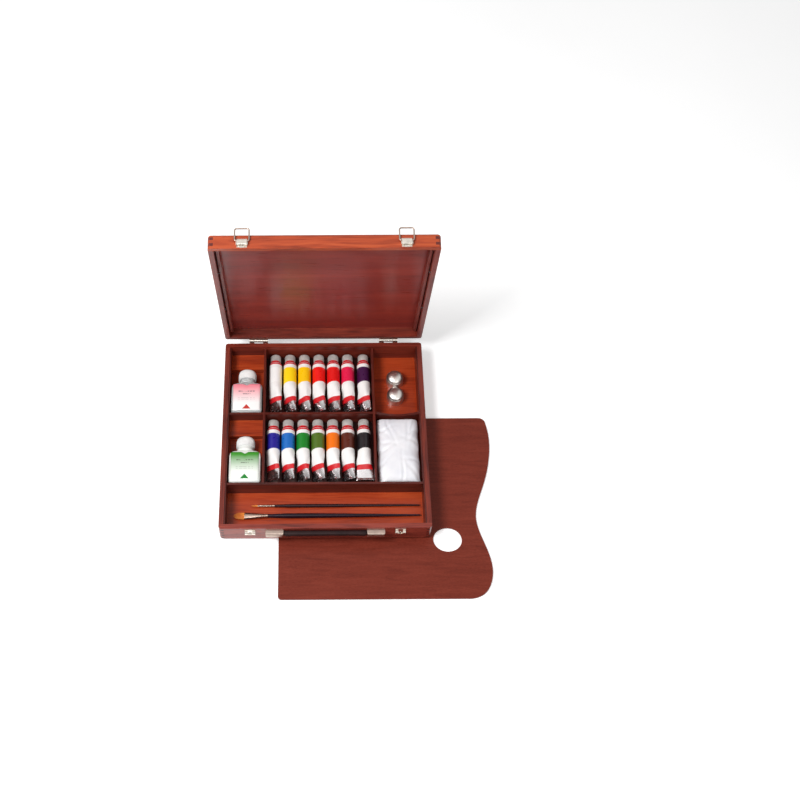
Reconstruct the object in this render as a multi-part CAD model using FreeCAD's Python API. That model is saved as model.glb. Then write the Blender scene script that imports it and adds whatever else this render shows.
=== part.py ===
import FreeCAD, Part
import math
import os

V = FreeCAD.Vector
X_AXIS = V(1, 0, 0)
Y_AXIS = V(0, 1, 0)
Z_AXIS = V(0, 0, 1)

# The art supply box: an open wooden case with its lid raised, standing on its loose palette.
# Millimetres. X runs to the right, Y to the hinges, Z up. The origin is under the middle of
# the case, on the table plane, which is the underside of the palette.

# Case and lid
case_width = 360.0
case_depth = 370.0
base_height = 45.0
lid_height = 24.5
rail_thickness = 8.5
corner_radius = 5.0
base_finger_count = 9
lid_finger_count = 5
panel_thickness = 4.0
panel_recess = 2.0
groove_depth = 4.0
lid_gap = 0.4
lid_open_angle = 79.0
batten_width = 4.5
batten_height = 10.0
batten_gap = 2.0
batten_end_gap = 6.0

# Compartments
liner_thickness = 2.0
liner_drop = 2.0
divider_thickness = 4.0
divider_height = 34.0
scoop_depth = 9.0
scoop_shoulder = 3.0
block_cap_gap = 9.7
block_height = 12.0

# Clearances
rest_gap = 0.3
run_gap = 0.05
fixed_gap = 0.02

# Hinges
hinge_inset = 60.7
hinge_width = 34.0
hinge_axis_offset = 6.0
hinge_pin_radius = 1.5
knuckle_radius = 3.5
centre_knuckle_width = 15.4
leaf_thickness = 1.5
leaf_height = 17.0
leaf_start = 5.5
arm_foot = 3.5
arm_root = 2.0

# Screws
screw_radius = 1.2
screw_length = 5.0
screw_head_radius = 2.3
screw_head_height = 0.8
hinge_screw_spacing = 20.0
hinge_screw_up = 16.0

# Latches
latch_inset = 53.0
latch_plate_width = 16.0
latch_plate_thickness = 1.0
latch_plate_low = 1.5
latch_plate_high = 16.0
cheek_thickness = 1.0
cheek_reach = 5.6
cheek_low = 4.0
cheek_high = 8.6
tongue_width = 7.0
tongue_thickness = 1.2
tongue_low = 0.7
tongue_high = 4.0
lever_axis_out = 3.3
lever_axis_up = 6.5
lever_pin_radius = 1.0
lever_half_depth = 2.0
lever_high = 14.3
bail_axis_up = 11.2
bail_wire_radius = 1.2
bail_post_spacing = 22.4
bail_arm = 21.3
bail_corner_radius = 3.5
bail_seat_depth = 2.6
catch_width = 17.2
catch_top = 4.0
catch_bottom = 23.0
catch_thickness = 1.0
hook_width = 4.6
hook_thickness = 2.0
hook_wall = 1.4
hook_drop = 1.9
hook_round = 1.2
catch_rib_reach = 1.4
catch_rib_low = 21.5
catch_rib_high = 19.0
catch_screw_drop = 16.0

# Strap handle
handle_up = 34.0
grip_length = 140.0
grip_depth = 8.6
grip_height = 9.6
grip_round = 3.6
strap_tongue_depth = 4.0
strap_tongue_height = 6.4
strap_tongue_length = 22.0
strap_head_length = 4.0
strap_head_height = 8.6
strap_travel = 4.0
cap_length = 30.0
cap_height = 12.4
cap_wall = 1.2
cap_round = 3.0
cap_grip_gap = 0.6

# Paint tubes
tubes_per_row = 7
tube_radius = 11.8
tube_gap = 2.9
last_tube_gap = 2.4
tube_bay_end_gap = 2.1
rear_row_margin = 4.9
front_row_margin = 2.4
tube_length = 118.0
tube_cap_radius = 9.6
tube_cap_length = 13.0
tube_shoulder_length = 9.5
tube_neck_radius = 8.6
tube_round_length = 42.0
tube_crimp_half_width = 15.0
tube_crimp_half_thickness = 0.7
tube_crimp_edge = 0.4
tube_crimp_bulge = 0.3
tube_crimp_length = 4.5
tube_tail_turn = 42.0
bay_slack = 16.6
rear_cap_gap = 4.5
front_cap_gap = 2.8

# Bottles
bottle_width = 56.5
bottle_thickness = 32.0
bottle_length = 63.0
bottle_round = 6.0
bottle_side_gap = 2.0
bottle_end_gap = 2.6
bottle_neck_radius = 11.5
bottle_neck_length = 24.0
bottle_cap_radius = 16.3
bottle_cap_length = 27.0

# Double dipper
dipper_radius = 15.4
dipper_wall = 1.0
dipper_cup_height = 12.0
dipper_lid_rim = 3.0
dipper_lid_dome = 8.0
dipper_spacing = 35.5
dipper_clip_width = 10.0
dipper_clip_thickness = 2.0
dipper_bead_radius = 2.6
dipper_from_cross = 46.5

# Wrapped pack
pack_side_gap = 1.2
pack_end_gap = 3.0
pack_low_end_gap = 4.0
pack_height = 24.0
pack_crown = 6.0
pack_end_height = 17.0
pack_end_crown = 3.0
pack_side_draw = 4.0
pack_end_draw = 5.0
pack_shoulder = 26.0

# Brushes
brush_spacing = 19.2
brush_offset = 2.0
brush_end_gap = 4.6
round_tip_gap = 40.0
round_hair_length = 13.2
round_hair_radius = 1.7
round_hair_taper = 8.0
round_ferrule_length = 29.2
round_neck_radius = 2.4
round_belly_radius = 3.1
flat_tip_gap = 11.0
flat_hair_length = 19.6
flat_hair_half_width = 6.6
flat_hair_half_thickness = 2.2
flat_tip_half_width = 3.6
flat_tip_length = 6.0
flat_tip_half_thickness = 1.3
flat_root_half_width = 6.1
flat_ferrule_length = 40.6
flat_neck_radius = 3.2
flat_belly_radius = 4.2
swell_from_ferrule = 15.0
belly_from_ferrule = 34.0
belly_length = 34.0
handle_tip_radius = 1.3
handle_tip_length = 2.6
handle_end_radius = 0.6
hair_tip_radius = 0.35

# Palette
palette_thickness = 3.0
palette_left = 80.0
palette_front = 294.0
palette_rear = 50.0
palette_corner = 6.0
palette_rear_corner = 12.0
palette_foot_right = 244.0
palette_toe_right = 270.0
palette_toe_front = 282.0
palette_bulge_right = 283.0
palette_bulge_front = 243.0
palette_waist_right = 261.5
palette_waist_front = 147.0
palette_swell_right = 280.0
palette_swell_front = 82.0
palette_shoulder_right = 294.0
palette_shoulder_front = 25.0
palette_head_right = 292.0
thumb_right = 209.7
thumb_front = 188.0
thumb_half_length = 24.5
thumb_half_width = 22.0

# Where the four arcs of an oval outline meet
arc_corner = math.radians(30)

# Places that follow from the sizes above
base_low = palette_thickness
base_rim = base_low + base_height
floor_top = base_low + panel_recess + panel_thickness
lid_rim = base_rim + lid_gap
lid_top = lid_rim + lid_height
front_face = -case_depth / 2
rear_face = case_depth / 2
inner_x = case_width / 2 - rail_thickness
inner_y = case_depth / 2 - rail_thickness
bay_x = inner_x - liner_thickness
hinge_y = rear_face + hinge_axis_offset
hinge_z = base_rim + lid_gap / 2
hinge_places = [-case_width / 2 + hinge_inset, case_width / 2 - hinge_inset]
latch_places = {"left": -case_width / 2 + latch_inset, "right": case_width / 2 - latch_inset}
lever_y = front_face - lever_axis_out
lever_z = lid_rim + lever_axis_up
bail_z = lid_rim + bail_axis_up
rest_level = floor_top + rest_gap

tube_pitch = 2 * tube_radius + tube_gap
tube_row_width = tubes_per_row * tube_pitch - tube_gap + last_tube_gap
tube_bay_width = rear_row_margin + tube_row_width + tube_bay_end_gap
bottle_bay_width = bottle_width + 2 * bottle_side_gap
bay_depth = tube_length + bay_slack
bottle_reach = bottle_end_gap + bottle_length + rest_gap + bottle_cap_length
block_depth = bay_depth - bottle_reach - block_cap_gap
left_divider_low = -bay_x + bottle_bay_width
tube_bay_low = left_divider_low + divider_thickness
right_divider_low = tube_bay_low + tube_bay_width
right_bay_low = right_divider_low + divider_thickness
cross_high = inner_y - bay_depth
cross_low = cross_high - divider_thickness
front_divider_high = cross_low - bay_depth
front_divider_low = front_divider_high - divider_thickness
divider_top = floor_top + divider_height
tube_axis_z = rest_level + tube_radius
row_ends = {"rear": inner_y - rear_cap_gap, "front": cross_low - front_cap_gap}
row_margins = {"rear": rear_row_margin, "front": front_row_margin}


def box(x0, x1, y0, y1, z0, z1):
    return Part.makeBox(x1 - x0, y1 - y0, z1 - z0, V(x0, y0, z0))


def rod(radius, start, end):
    along = end - start
    return Part.makeCylinder(radius, along.Length, start, along)


def round_inset(radius):
    """How far the middle of a quarter round lies in from the corner it rounds off."""
    return radius * (1 - math.sqrt(0.5))


def prism(points, x0, x1):
    """A solid of one (y, z) outline between two places along X."""
    corners = [V(x0, y, z) for y, z in points]
    face = Part.Face(Part.makePolygon(corners + corners[:1]))
    return face.extrude(V(x1 - x0, 0, 0))


def spun(profile, start, along):
    """A turned solid: (distance, radius) stations along a line, closed on its axis."""
    side = Z_AXIS
    points = [start + along * profile[0][0]]
    points += [start + along * d + side * r for d, r in profile]
    points.append(start + along * profile[-1][0])
    clean = [p for i, p in enumerate(points) if i == 0 or (p - points[i - 1]).Length > 1e-6]
    face = Part.Face(Part.makePolygon(clean + clean[:1]))
    return face.revolve(start, along, 360)


def rounded_block(z0, z1, rounded_z):
    """The outer form of the case or the lid, with its upright corners and one rim rounded."""
    block = box(-case_width / 2, case_width / 2, front_face, rear_face, z0, z1)
    picked = []
    for edge in block.Edges:
        low, high = sorted(v.Point.z for v in edge.Vertexes)
        if high - low > 1 or abs(low - rounded_z) < 0.01:
            picked.append(edge)
    return block.makeFillet(corner_radius, picked)


def finger_boxes(z0, height, count, first):
    """Blocks at the four corners that take every second finger out of a board."""
    step = height / count
    blocks = []
    for i in range(first, count, 2):
        for sx in (-1, 1):
            for sy in (-1, 1):
                xs = sorted((sx * case_width / 2, sx * inner_x))
                ys = sorted((sy * rear_face, sy * inner_y))
                blocks.append(box(xs[0], xs[1], ys[0], ys[1], z0 + i * step, z0 + (i + 1) * step))
    return Part.makeCompound(blocks)


def frame_rails(z0, height, count, rounded_z, panel_low):
    """Four finger-jointed boards and the panel that sits in their groove."""
    form = rounded_block(z0, z0 + height, rounded_z)
    deep_x = inner_x + groove_depth
    deep_y = inner_y + groove_depth
    panel = box(-deep_x, deep_x, -deep_y, deep_y, panel_low, panel_low + panel_thickness)
    across = finger_boxes(z0, height, count, 1)
    along = finger_boxes(z0, height, count, 0)
    top = z0 + height
    boards = {
        "front_rail": box(-case_width / 2, case_width / 2, front_face, -inner_y, z0, top).cut(across),
        "rear_rail": box(-case_width / 2, case_width / 2, inner_y, rear_face, z0, top).cut(across),
        "left_rail": box(-case_width / 2, -inner_x, front_face, rear_face, z0, top).cut(along),
        "right_rail": box(inner_x, case_width / 2, front_face, rear_face, z0, top).cut(along),
    }
    shaped = {name: board.common(form).cut(panel) for name, board in boards.items()}
    return shaped, panel


def screw(place, inward):
    head = rod(screw_head_radius, place - inward * screw_head_height, place)
    return head.fuse(rod(screw_radius, place, place + inward * screw_length))


def screw_hole(place, inward):
    return rod(screw_radius + fixed_gap, place - inward, place + inward * (screw_length + rest_gap))


def hinge_leaf(x, up):
    """One leaf with its knuckles: up is 1 for the lid and -1 for the case."""
    half = hinge_width / 2
    inner = centre_knuckle_width / 2
    spans = [(-inner, inner)] if up > 0 else [(-half, -inner - rest_gap), (inner + rest_gap, half)]
    bore = hinge_pin_radius + (run_gap if up > 0 else fixed_gap)
    z_near, z_far = hinge_z + up * leaf_start, hinge_z + up * (leaf_start + leaf_height)
    z_low, z_high = sorted((z_near, z_far))
    leaf = box(x - half, x + half, rear_face, rear_face + leaf_thickness, z_low, z_high)
    for low, high in spans:
        arm = [
            (rear_face, hinge_z + up * (leaf_start + arm_foot)),
            (hinge_y, hinge_z + up * (knuckle_radius - run_gap)),
            (hinge_y, hinge_z),
            (hinge_y - arm_root, hinge_z),
            (rear_face, hinge_z + up * leaf_start),
        ]
        leaf = leaf.fuse(prism(arm, x + low, x + high))
        leaf = leaf.fuse(rod(knuckle_radius, V(x + low, hinge_y, hinge_z), V(x + high, hinge_y, hinge_z)))
    leaf = leaf.cut(rod(bore, V(x - half, hinge_y, hinge_z), V(x + half, hinge_y, hinge_z)))
    return leaf.removeSplitter()


def hinge_screw_places(up):
    z = hinge_z + up * hinge_screw_up
    shift = hinge_screw_spacing / 2
    return [V(x + s, rear_face + leaf_thickness, z) for x in hinge_places for s in (-shift, shift)]


def latch_plate(x):
    half = latch_plate_width / 2
    back = front_face - latch_plate_thickness
    plate = box(x - half, x + half, back, front_face, lid_rim + latch_plate_low, lid_rim + latch_plate_high)
    cheek_y = front_face - cheek_reach
    for low in (x - half - cheek_thickness, x + half):
        high = low + cheek_thickness
        cheek = box(low, high, cheek_y, front_face, lid_rim + cheek_low, lid_rim + cheek_high)
        plate = plate.fuse(cheek)
    tongue = box(
        x - tongue_width / 2,
        x + tongue_width / 2,
        front_face - latch_plate_thickness - tongue_thickness,
        front_face,
        lid_rim + tongue_low,
        lid_rim + tongue_high,
    )
    hole = rod(
        lever_pin_radius + fixed_gap,
        V(x - latch_plate_width, lever_y, lever_z),
        V(x + latch_plate_width, lever_y, lever_z),
    )
    return plate.fuse(tongue).cut(hole).removeSplitter()


def latch_pin(x):
    half = latch_plate_width / 2 + cheek_thickness
    return rod(lever_pin_radius, V(x - half, lever_y, lever_z), V(x + half, lever_y, lever_z))


def latch_lever(x):
    half = latch_plate_width / 2 - rest_gap
    low, high = x - half, x + half
    barrel = rod(lever_half_depth, V(low, lever_y, lever_z), V(high, lever_y, lever_z))
    flat_top = lid_rim + lever_high - lever_half_depth
    plate = box(low, high, lever_y - lever_half_depth, lever_y + lever_half_depth, lever_z, flat_top)
    crest = rod(lever_half_depth, V(low, lever_y, flat_top), V(high, lever_y, flat_top))
    bore = rod(lever_pin_radius + run_gap, V(low, lever_y, lever_z), V(high, lever_y, lever_z))
    lever = barrel.fuse([plate, crest]).cut(bore)
    for end, inward in ((low, 1), (high, -1)):
        seat_end = end + inward * bail_seat_depth
        seat = rod(bail_wire_radius + run_gap, V(end, lever_y, bail_z), V(seat_end, lever_y, bail_z))
        lever = lever.cut(seat)
    return lever.removeSplitter()


def latch_bail(x):
    """The wire loop: two ends in the lever, two posts and the bar that hooks on the catch."""
    post = bail_post_spacing / 2
    end = latch_plate_width / 2 - rest_gap - bail_seat_depth + rest_gap
    bar_z = bail_z + bail_arm
    r = bail_corner_radius
    k = round_inset(r)
    y = lever_y
    edges = []
    for s in (-1, 1):
        foot = [V(x + s * end, y, bail_z), V(x + s * (post - r), y, bail_z)]
        edges.append(Part.makeLine(foot[0], foot[1]))
        bend = V(x + s * (post - k), y, bail_z + k)
        post_low = V(x + s * post, y, bail_z + r)
        edges.append(Part.Arc(foot[1], bend, post_low).toShape())
        post_high = V(x + s * post, y, bar_z - r)
        edges.append(Part.makeLine(post_low, post_high))
        turn = V(x + s * (post - k), y, bar_z - k)
        edges.append(Part.Arc(post_high, turn, V(x + s * (post - r), y, bar_z)).toShape())
    edges.append(Part.makeLine(V(x - post + r, y, bar_z), V(x + post - r, y, bar_z)))
    path = Part.Wire(Part.__sortEdges__(edges))
    start = path.OrderedVertexes[0].Point
    profile = Part.Wire(Part.makeCircle(bail_wire_radius, start, X_AXIS))
    return path.makePipeShell([profile], True, False)


def latch_catch(x):
    """A strike plate with two curled hooks that the bail bar is drawn up into."""
    half = catch_width / 2
    skin = front_face - catch_thickness
    plate = box(x - half, x + half, skin, front_face, base_rim - catch_bottom, base_rim - catch_top)
    bar_z = bail_z - bail_arm
    under = bar_z + bail_wire_radius + rest_gap
    inside = lever_y - bail_wire_radius - rest_gap
    outside = inside - hook_wall
    curl = [
        (front_face, under),
        (inside, under),
        (inside, bar_z - hook_drop),
        (outside, bar_z - hook_drop),
        (outside, under + hook_thickness - hook_round),
        (outside + hook_round, under + hook_thickness),
        (front_face, under + hook_thickness),
    ]
    for low in (x - half, x + half - hook_width):
        plate = plate.fuse(prism(curl, low, low + hook_width))
    rib = box(
        x - half,
        x + half,
        skin - catch_rib_reach,
        front_face,
        base_rim - catch_rib_low,
        base_rim - catch_rib_high,
    )
    return plate.fuse(rib).removeSplitter()


def handle_cap(s):
    """A hollow end cap: s is -1 on the left and 1 on the right."""
    start = grip_length / 2 + cap_grip_gap
    xs = sorted((s * start, s * (start + cap_length)))
    reach = rest_gap + strap_tongue_depth + strap_travel + rest_gap + cap_wall
    z = base_low + handle_up
    shell = box(xs[0], xs[1], front_face - reach, front_face, z - cap_height / 2, z + cap_height / 2)
    outer = [e for e in shell.Edges if all(abs(v.Point.y - front_face + reach) < 0.01 for v in e.Vertexes)]
    shell = shell.makeFillet(cap_round, outer)
    room_height = cap_height / 2 - cap_wall
    room_xs = sorted((s * (start + cap_wall), s * (start + cap_length - cap_wall)))
    room = box(
        room_xs[0], room_xs[1], front_face - reach + cap_wall, front_face, z - room_height, z + room_height
    )
    mouth_height = strap_tongue_height / 2 + rest_gap
    mouth_xs = sorted((s * (start - cap_wall), s * (start + 2 * cap_wall)))
    mouth = box(
        mouth_xs[0], mouth_xs[1], front_face - reach + cap_wall, front_face, z - mouth_height, z + mouth_height
    )
    return shell.cut(room).cut(mouth)


def handle_strap():
    z = base_low + handle_up
    near = front_face - rest_gap
    half = grip_length / 2
    grip = box(-half, half, near - grip_depth, near, z - grip_height / 2, z + grip_height / 2)
    long_edges = [e for e in grip.Edges if e.Length > grip_length - 1]
    strap = grip.makeFillet(grip_round, long_edges)
    end = half + strap_tongue_length
    tongue = box(
        -end, end, near - strap_tongue_depth, near, z - strap_tongue_height / 2, z + strap_tongue_height / 2
    )
    strap = strap.fuse(tongue)
    for s in (-1, 1):
        xs = sorted((s * (end - strap_head_length), s * end))
        head = box(
            xs[0], xs[1], near - strap_tongue_depth, near, z - strap_head_height / 2, z + strap_head_height / 2
        )
        strap = strap.fuse(head)
    return strap.removeSplitter()


def tube_ring(x, y, half_width, half_height, corner_height, bulge, turn):
    """A closed four-arc outline round a tube axis, in a plane across Y."""
    flat = [
        ((-half_width, corner_height), (0, half_height), (half_width, corner_height)),
        ((half_width, corner_height), (half_width + bulge, 0), (half_width, -corner_height)),
        ((half_width, -corner_height), (0, -half_height), (-half_width, -corner_height)),
        ((-half_width, -corner_height), (-half_width - bulge, 0), (-half_width, corner_height)),
    ]
    c, s = math.cos(math.radians(turn)), math.sin(math.radians(turn))

    def at(point):
        u, v = point
        return V(x + u * c - v * s, y, tube_axis_z + u * s + v * c)

    return Part.Wire([Part.Arc(at(a), at(b), at(d)).toShape() for a, b, d in flat])


def paint_tube(x, cap_end, turn):
    """A filled tube lying on its side with the cap to the rear, and its screw cap."""
    cap_start = cap_end - tube_cap_length
    cap = rod(tube_cap_radius, V(x, cap_start, tube_axis_z), V(x, cap_end, tube_axis_z))
    shoulder_y = cap_start - tube_shoulder_length
    shoulder = Part.makeCone(
        tube_radius,
        tube_neck_radius,
        tube_shoulder_length,
        V(x, shoulder_y, tube_axis_z),
        Y_AXIS,
    )
    side = tube_radius * math.cos(arc_corner)
    full = (side, tube_radius, tube_radius * math.sin(arc_corner), tube_radius - side, turn)
    tail_end = cap_end - tube_length
    crimp_y = tail_end + tube_crimp_length
    round_end = shoulder_y - tube_round_length
    flat = (tube_crimp_half_width, tube_crimp_half_thickness, tube_crimp_edge, tube_crimp_bulge, turn)
    round_part = Part.makeCylinder(tube_radius, tube_round_length, V(x, round_end, tube_axis_z), Y_AXIS)
    tail = Part.makeLoft([tube_ring(x, round_end, *full), tube_ring(x, crimp_y, *flat)], True, True)
    crimp = Part.makeLoft([tube_ring(x, crimp_y, *flat), tube_ring(x, tail_end, *flat)], True, True)
    return Part.makeCompound([shoulder.fuse([round_part, tail, crimp]).removeSplitter(), cap])


def bottle(low_y):
    """A flat bottle on its back with its neck to the rear, and the cap over the neck."""
    x = -bay_x + bottle_bay_width / 2
    z = rest_level + bottle_cap_radius
    half = bottle_width / 2
    high_y = low_y + bottle_length
    body = box(x - half, x + half, low_y, high_y, z - bottle_thickness / 2, z + bottle_thickness / 2)
    body = body.makeFillet(bottle_round, body.Edges)
    neck_end = high_y + bottle_neck_length
    body = body.fuse(rod(bottle_neck_radius, V(x, high_y - bottle_round, z), V(x, neck_end, z)))
    cap_start = high_y + rest_gap
    cap_end = cap_start + bottle_cap_length
    cap = rod(bottle_cap_radius, V(x, cap_start, z), V(x, cap_end, z))
    cap = cap.cut(rod(bottle_neck_radius + run_gap, V(x, cap_start, z), V(x, neck_end, z)))
    return body, cap


def dipper_shapes():
    """Two cups joined by a clip with a bead, and their domed lids."""
    x = (right_bay_low + bay_x) / 2
    near = cross_high + dipper_from_cross
    centres = [near, near + dipper_spacing]
    r = dipper_radius
    brim = rest_level + dipper_cup_height
    rim_top = brim + dipper_lid_rim
    dome_radius = (r * r + dipper_lid_dome * dipper_lid_dome) / (2 * dipper_lid_dome)
    middle = near + dipper_spacing / 2
    half = dipper_clip_width / 2
    clip_top = rest_level + dipper_clip_thickness
    cups = box(x - half, x + half, centres[0], centres[1], rest_level, clip_top)
    cups = cups.fuse(rod(dipper_bead_radius, V(x, middle, rest_level), V(x, middle, brim)))
    lids = []
    for y in centres:
        cups = cups.fuse(rod(r, V(x, y, rest_level), V(x, y, brim)))
        ball = Part.makeSphere(dome_radius, V(x, y, rim_top + dipper_lid_dome - dome_radius))
        dome = ball.common(box(x - r, x + r, y - r, y + r, rim_top, rim_top + dipper_lid_dome))
        lids.append(rod(r, V(x, y, brim), V(x, y, rim_top)).fuse(dome).removeSplitter())
    for y in centres:
        cups = cups.cut(rod(r - dipper_wall, V(x, y, rest_level + dipper_wall), V(x, y, brim)))
    return cups.removeSplitter(), Part.makeCompound(lids)


def pack_ring(y, half_width, side_height, crown):
    """A pillow outline across Y: flat below, drawn-in sides and a crowned top."""
    x = (right_bay_low + bay_x) / 2
    low = rest_level
    top = low + side_height
    foot = half_width - pack_side_draw
    corners = [V(x - foot, y, low), V(x + foot, y, low), V(x + foot, y, top), V(x - foot, y, top)]
    mid = low + side_height / 2
    edges = [
        Part.makeLine(corners[0], corners[1]),
        Part.Arc(corners[1], V(x + half_width, y, mid), corners[2]).toShape(),
        Part.Arc(corners[2], V(x, y, top + crown), corners[3]).toShape(),
        Part.Arc(corners[3], V(x - half_width, y, mid), corners[0]).toShape(),
    ]
    return Part.Wire(edges)


def wrapped_pack():
    half = (bay_x - right_bay_low) / 2 - pack_side_gap
    low_y = front_divider_high + pack_low_end_gap
    high_y = cross_low - pack_end_gap
    narrow = half - pack_end_draw
    rings = [
        pack_ring(low_y, narrow, pack_end_height, pack_end_crown),
        pack_ring(low_y + pack_shoulder, half, pack_height, pack_crown),
        pack_ring(high_y - pack_shoulder, half, pack_height, pack_crown),
        pack_ring(high_y, narrow, pack_end_height, pack_end_crown),
    ]
    return Part.makeLoft(rings, True, True)


def brush_handle(start, y, z, neck, belly):
    end = bay_x - brush_end_gap
    length = end - start
    profile = [
        (0, neck),
        (swell_from_ferrule, (neck + belly) / 2),
        (belly_from_ferrule, belly),
        (belly_from_ferrule + belly_length, belly),
        (length - handle_tip_length, handle_tip_radius),
        (length, handle_end_radius),
    ]
    return spun(profile, V(start, y, z), X_AXIS)


def round_brush(y):
    z = rest_level + round_belly_radius
    tip = -bay_x + round_tip_gap
    hair = spun(
        [(0, hair_tip_radius), (round_hair_taper, round_hair_radius), (round_hair_length, round_hair_radius)],
        V(tip, y, z),
        X_AXIS,
    )
    ferrule_start = tip + round_hair_length
    ferrule = spun(
        [(0, round_hair_radius), (round_ferrule_length, round_neck_radius)], V(ferrule_start, y, z), X_AXIS
    )
    handle = brush_handle(
        ferrule_start + round_ferrule_length, y, z, round_neck_radius, round_belly_radius
    )
    return handle, Part.makeCompound([ferrule, hair])


def flat_ring(x, y, z, half_width, half_thickness):
    """A four-arc outline across X, wider along Y than it is high."""
    a = half_width * math.cos(arc_corner)
    e = half_thickness * math.sin(arc_corner)
    points = [
        ((-a, e), (0, half_thickness), (a, e)),
        ((a, e), (half_width, 0), (a, -e)),
        ((a, -e), (0, -half_thickness), (-a, -e)),
        ((-a, -e), (-half_width, 0), (-a, e)),
    ]
    return Part.Wire(
        [Part.Arc(*[V(x, y + u, z + v) for u, v in arc]).toShape() for arc in points]
    )


def flat_brush(y):
    z = rest_level + flat_belly_radius
    tip = -bay_x + flat_tip_gap
    root = tip + flat_hair_length
    hair = Part.makeLoft(
        [
            flat_ring(tip, y, z, flat_tip_half_width, hair_tip_radius),
            flat_ring(tip + flat_tip_length, y, z, flat_hair_half_width, flat_tip_half_thickness),
            flat_ring(root, y, z, flat_root_half_width, flat_hair_half_thickness),
        ],
        True,
        True,
    )
    ferrule_end = root + flat_ferrule_length
    ferrule = Part.makeLoft(
        [
            flat_ring(root, y, z, flat_root_half_width, flat_hair_half_thickness),
            flat_ring(ferrule_end, y, z, flat_neck_radius, flat_neck_radius),
        ],
        True,
        True,
    )
    handle = brush_handle(ferrule_end, y, z, flat_neck_radius, flat_belly_radius)
    return handle, Part.makeCompound([ferrule, hair])


def palette_board():
    """The palette: straight front and left edges, a waved right edge and an oval thumb hole."""
    left, front, rear = -palette_left, -palette_front, palette_rear
    c = palette_corner
    k = round_inset(c)
    head_y = rear - palette_rear_corner
    head_x = palette_head_right - palette_rear_corner
    m = round_inset(palette_rear_corner)

    def at(x, y):
        return V(x, y, 0)

    wave = Part.BSplineCurve()
    wave.interpolate(
        [
            at(palette_foot_right, front),
            at(palette_toe_right, -palette_toe_front),
            at(palette_bulge_right, -palette_bulge_front),
            at(palette_waist_right, -palette_waist_front),
            at(palette_swell_right, -palette_swell_front),
            at(palette_shoulder_right, -palette_shoulder_front),
            at(palette_head_right, head_y),
        ]
    )
    edges = [
        Part.makeLine(at(left + c, front), at(palette_foot_right, front)),
        wave.toShape(),
        Part.Arc(at(palette_head_right, head_y), at(palette_head_right - m, rear - m), at(head_x, rear)).toShape(),
        Part.makeLine(at(head_x, rear), at(left + c, rear)),
        Part.Arc(at(left + c, rear), at(left + k, rear - k), at(left, rear - c)).toShape(),
        Part.makeLine(at(left, rear - c), at(left, front + c)),
        Part.Arc(at(left, front + c), at(left + k, front + k), at(left + c, front)).toShape(),
    ]
    board = Part.Face(Part.Wire(edges)).extrude(V(0, 0, palette_thickness))
    oval = Part.Ellipse(at(thumb_right, -thumb_front), thumb_half_length, thumb_half_width).toShape()
    hole = Part.Face(Part.Wire([oval])).extrude(V(0, 0, palette_thickness))
    return board.cut(hole)


def save(name, shape):
    if not shape.isValid():
        print("not valid:", name)
    shape.exportStep("parts/" + name + ".step")


def save_lid(name, shape):
    """Turns a piece of the closed lid to the open place before it is written."""
    turned = shape.copy()
    turned.rotate(V(0, hinge_y, hinge_z), X_AXIS, -lid_open_angle)
    save(name, turned)


os.makedirs("parts", exist_ok=True)

# Case
base_boards, base_bottom = frame_rails(
    base_low, base_height, base_finger_count, base_low, base_low + panel_recess
)
inward = V(0, -1, 0)
base_hinge_screws = hinge_screw_places(-1)
catch_screws = [
    V(x, front_face - catch_thickness, base_rim - catch_screw_drop) for x in latch_places.values()
]
base_holes = [screw_hole(p, inward) for p in base_hinge_screws]
catch_holes = [screw_hole(p, Y_AXIS) for p in catch_screws]
base_boards["rear_rail"] = base_boards["rear_rail"].cut(base_holes)
base_boards["front_rail"] = base_boards["front_rail"].cut(catch_holes)
for name, board in base_boards.items():
    save("base_" + name, board)
save("base_bottom", base_bottom)
save("hinge_base_leaves", Part.makeCompound([hinge_leaf(x, -1).cut(base_holes) for x in hinge_places]))
pin_half = V(hinge_width / 2, 0, 0)
pin_centres = [V(x, hinge_y, hinge_z) for x in hinge_places]
save("hinge_pins", Part.makeCompound([rod(hinge_pin_radius, c - pin_half, c + pin_half) for c in pin_centres]))
save("latch_catches", Part.makeCompound([latch_catch(x).cut(catch_holes) for x in latch_places.values()]))
all_base_screws = [screw(p, inward) for p in base_hinge_screws] + [screw(p, Y_AXIS) for p in catch_screws]
save("base_screws", Part.makeCompound(all_base_screws))
save("handle_end_caps", Part.makeCompound([handle_cap(-1), handle_cap(1)]))
save("handle_strap", handle_strap())

# Compartment boards
liner_top = base_rim - liner_drop
save("liner_left", box(-inner_x, -bay_x, -inner_y, inner_y, floor_top, liner_top))
save("liner_right", box(bay_x, inner_x, -inner_y, inner_y, floor_top, liner_top))
left_divider_high = left_divider_low + divider_thickness
right_divider_high = right_divider_low + divider_thickness
long_board = (front_divider_high, inner_y, floor_top, divider_top)
save("divider_left", box(left_divider_low, left_divider_high, *long_board))
save("divider_right", box(right_divider_low, right_divider_high, *long_board))
save("divider_front", box(-bay_x, bay_x, front_divider_low, front_divider_high, floor_top, divider_top))
short_board = (cross_low, cross_high, floor_top, divider_top)
save("cross_divider_left", box(-bay_x, left_divider_low, *short_board))
save("cross_divider_middle", box(left_divider_high, right_divider_low, *short_board))
scooped = box(right_divider_high, bay_x, *short_board)
scoop_half = (bay_x - right_divider_high) / 2 - scoop_shoulder
scoop_radius = (scoop_half * scoop_half + scoop_depth * scoop_depth) / (2 * scoop_depth)
scoop_x = (right_divider_high + bay_x) / 2
scoop_z = divider_top - scoop_depth + scoop_radius
scoop = rod(scoop_radius, V(scoop_x, cross_low, scoop_z), V(scoop_x, cross_high, scoop_z))
save("cross_divider_right", scooped.cut(scoop))
blocks = [
    box(-bay_x, left_divider_low, end - block_depth, end, floor_top, floor_top + block_height)
    for end in (inner_y, cross_low)
]
save("bottle_blocks", Part.makeCompound(blocks))

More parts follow.
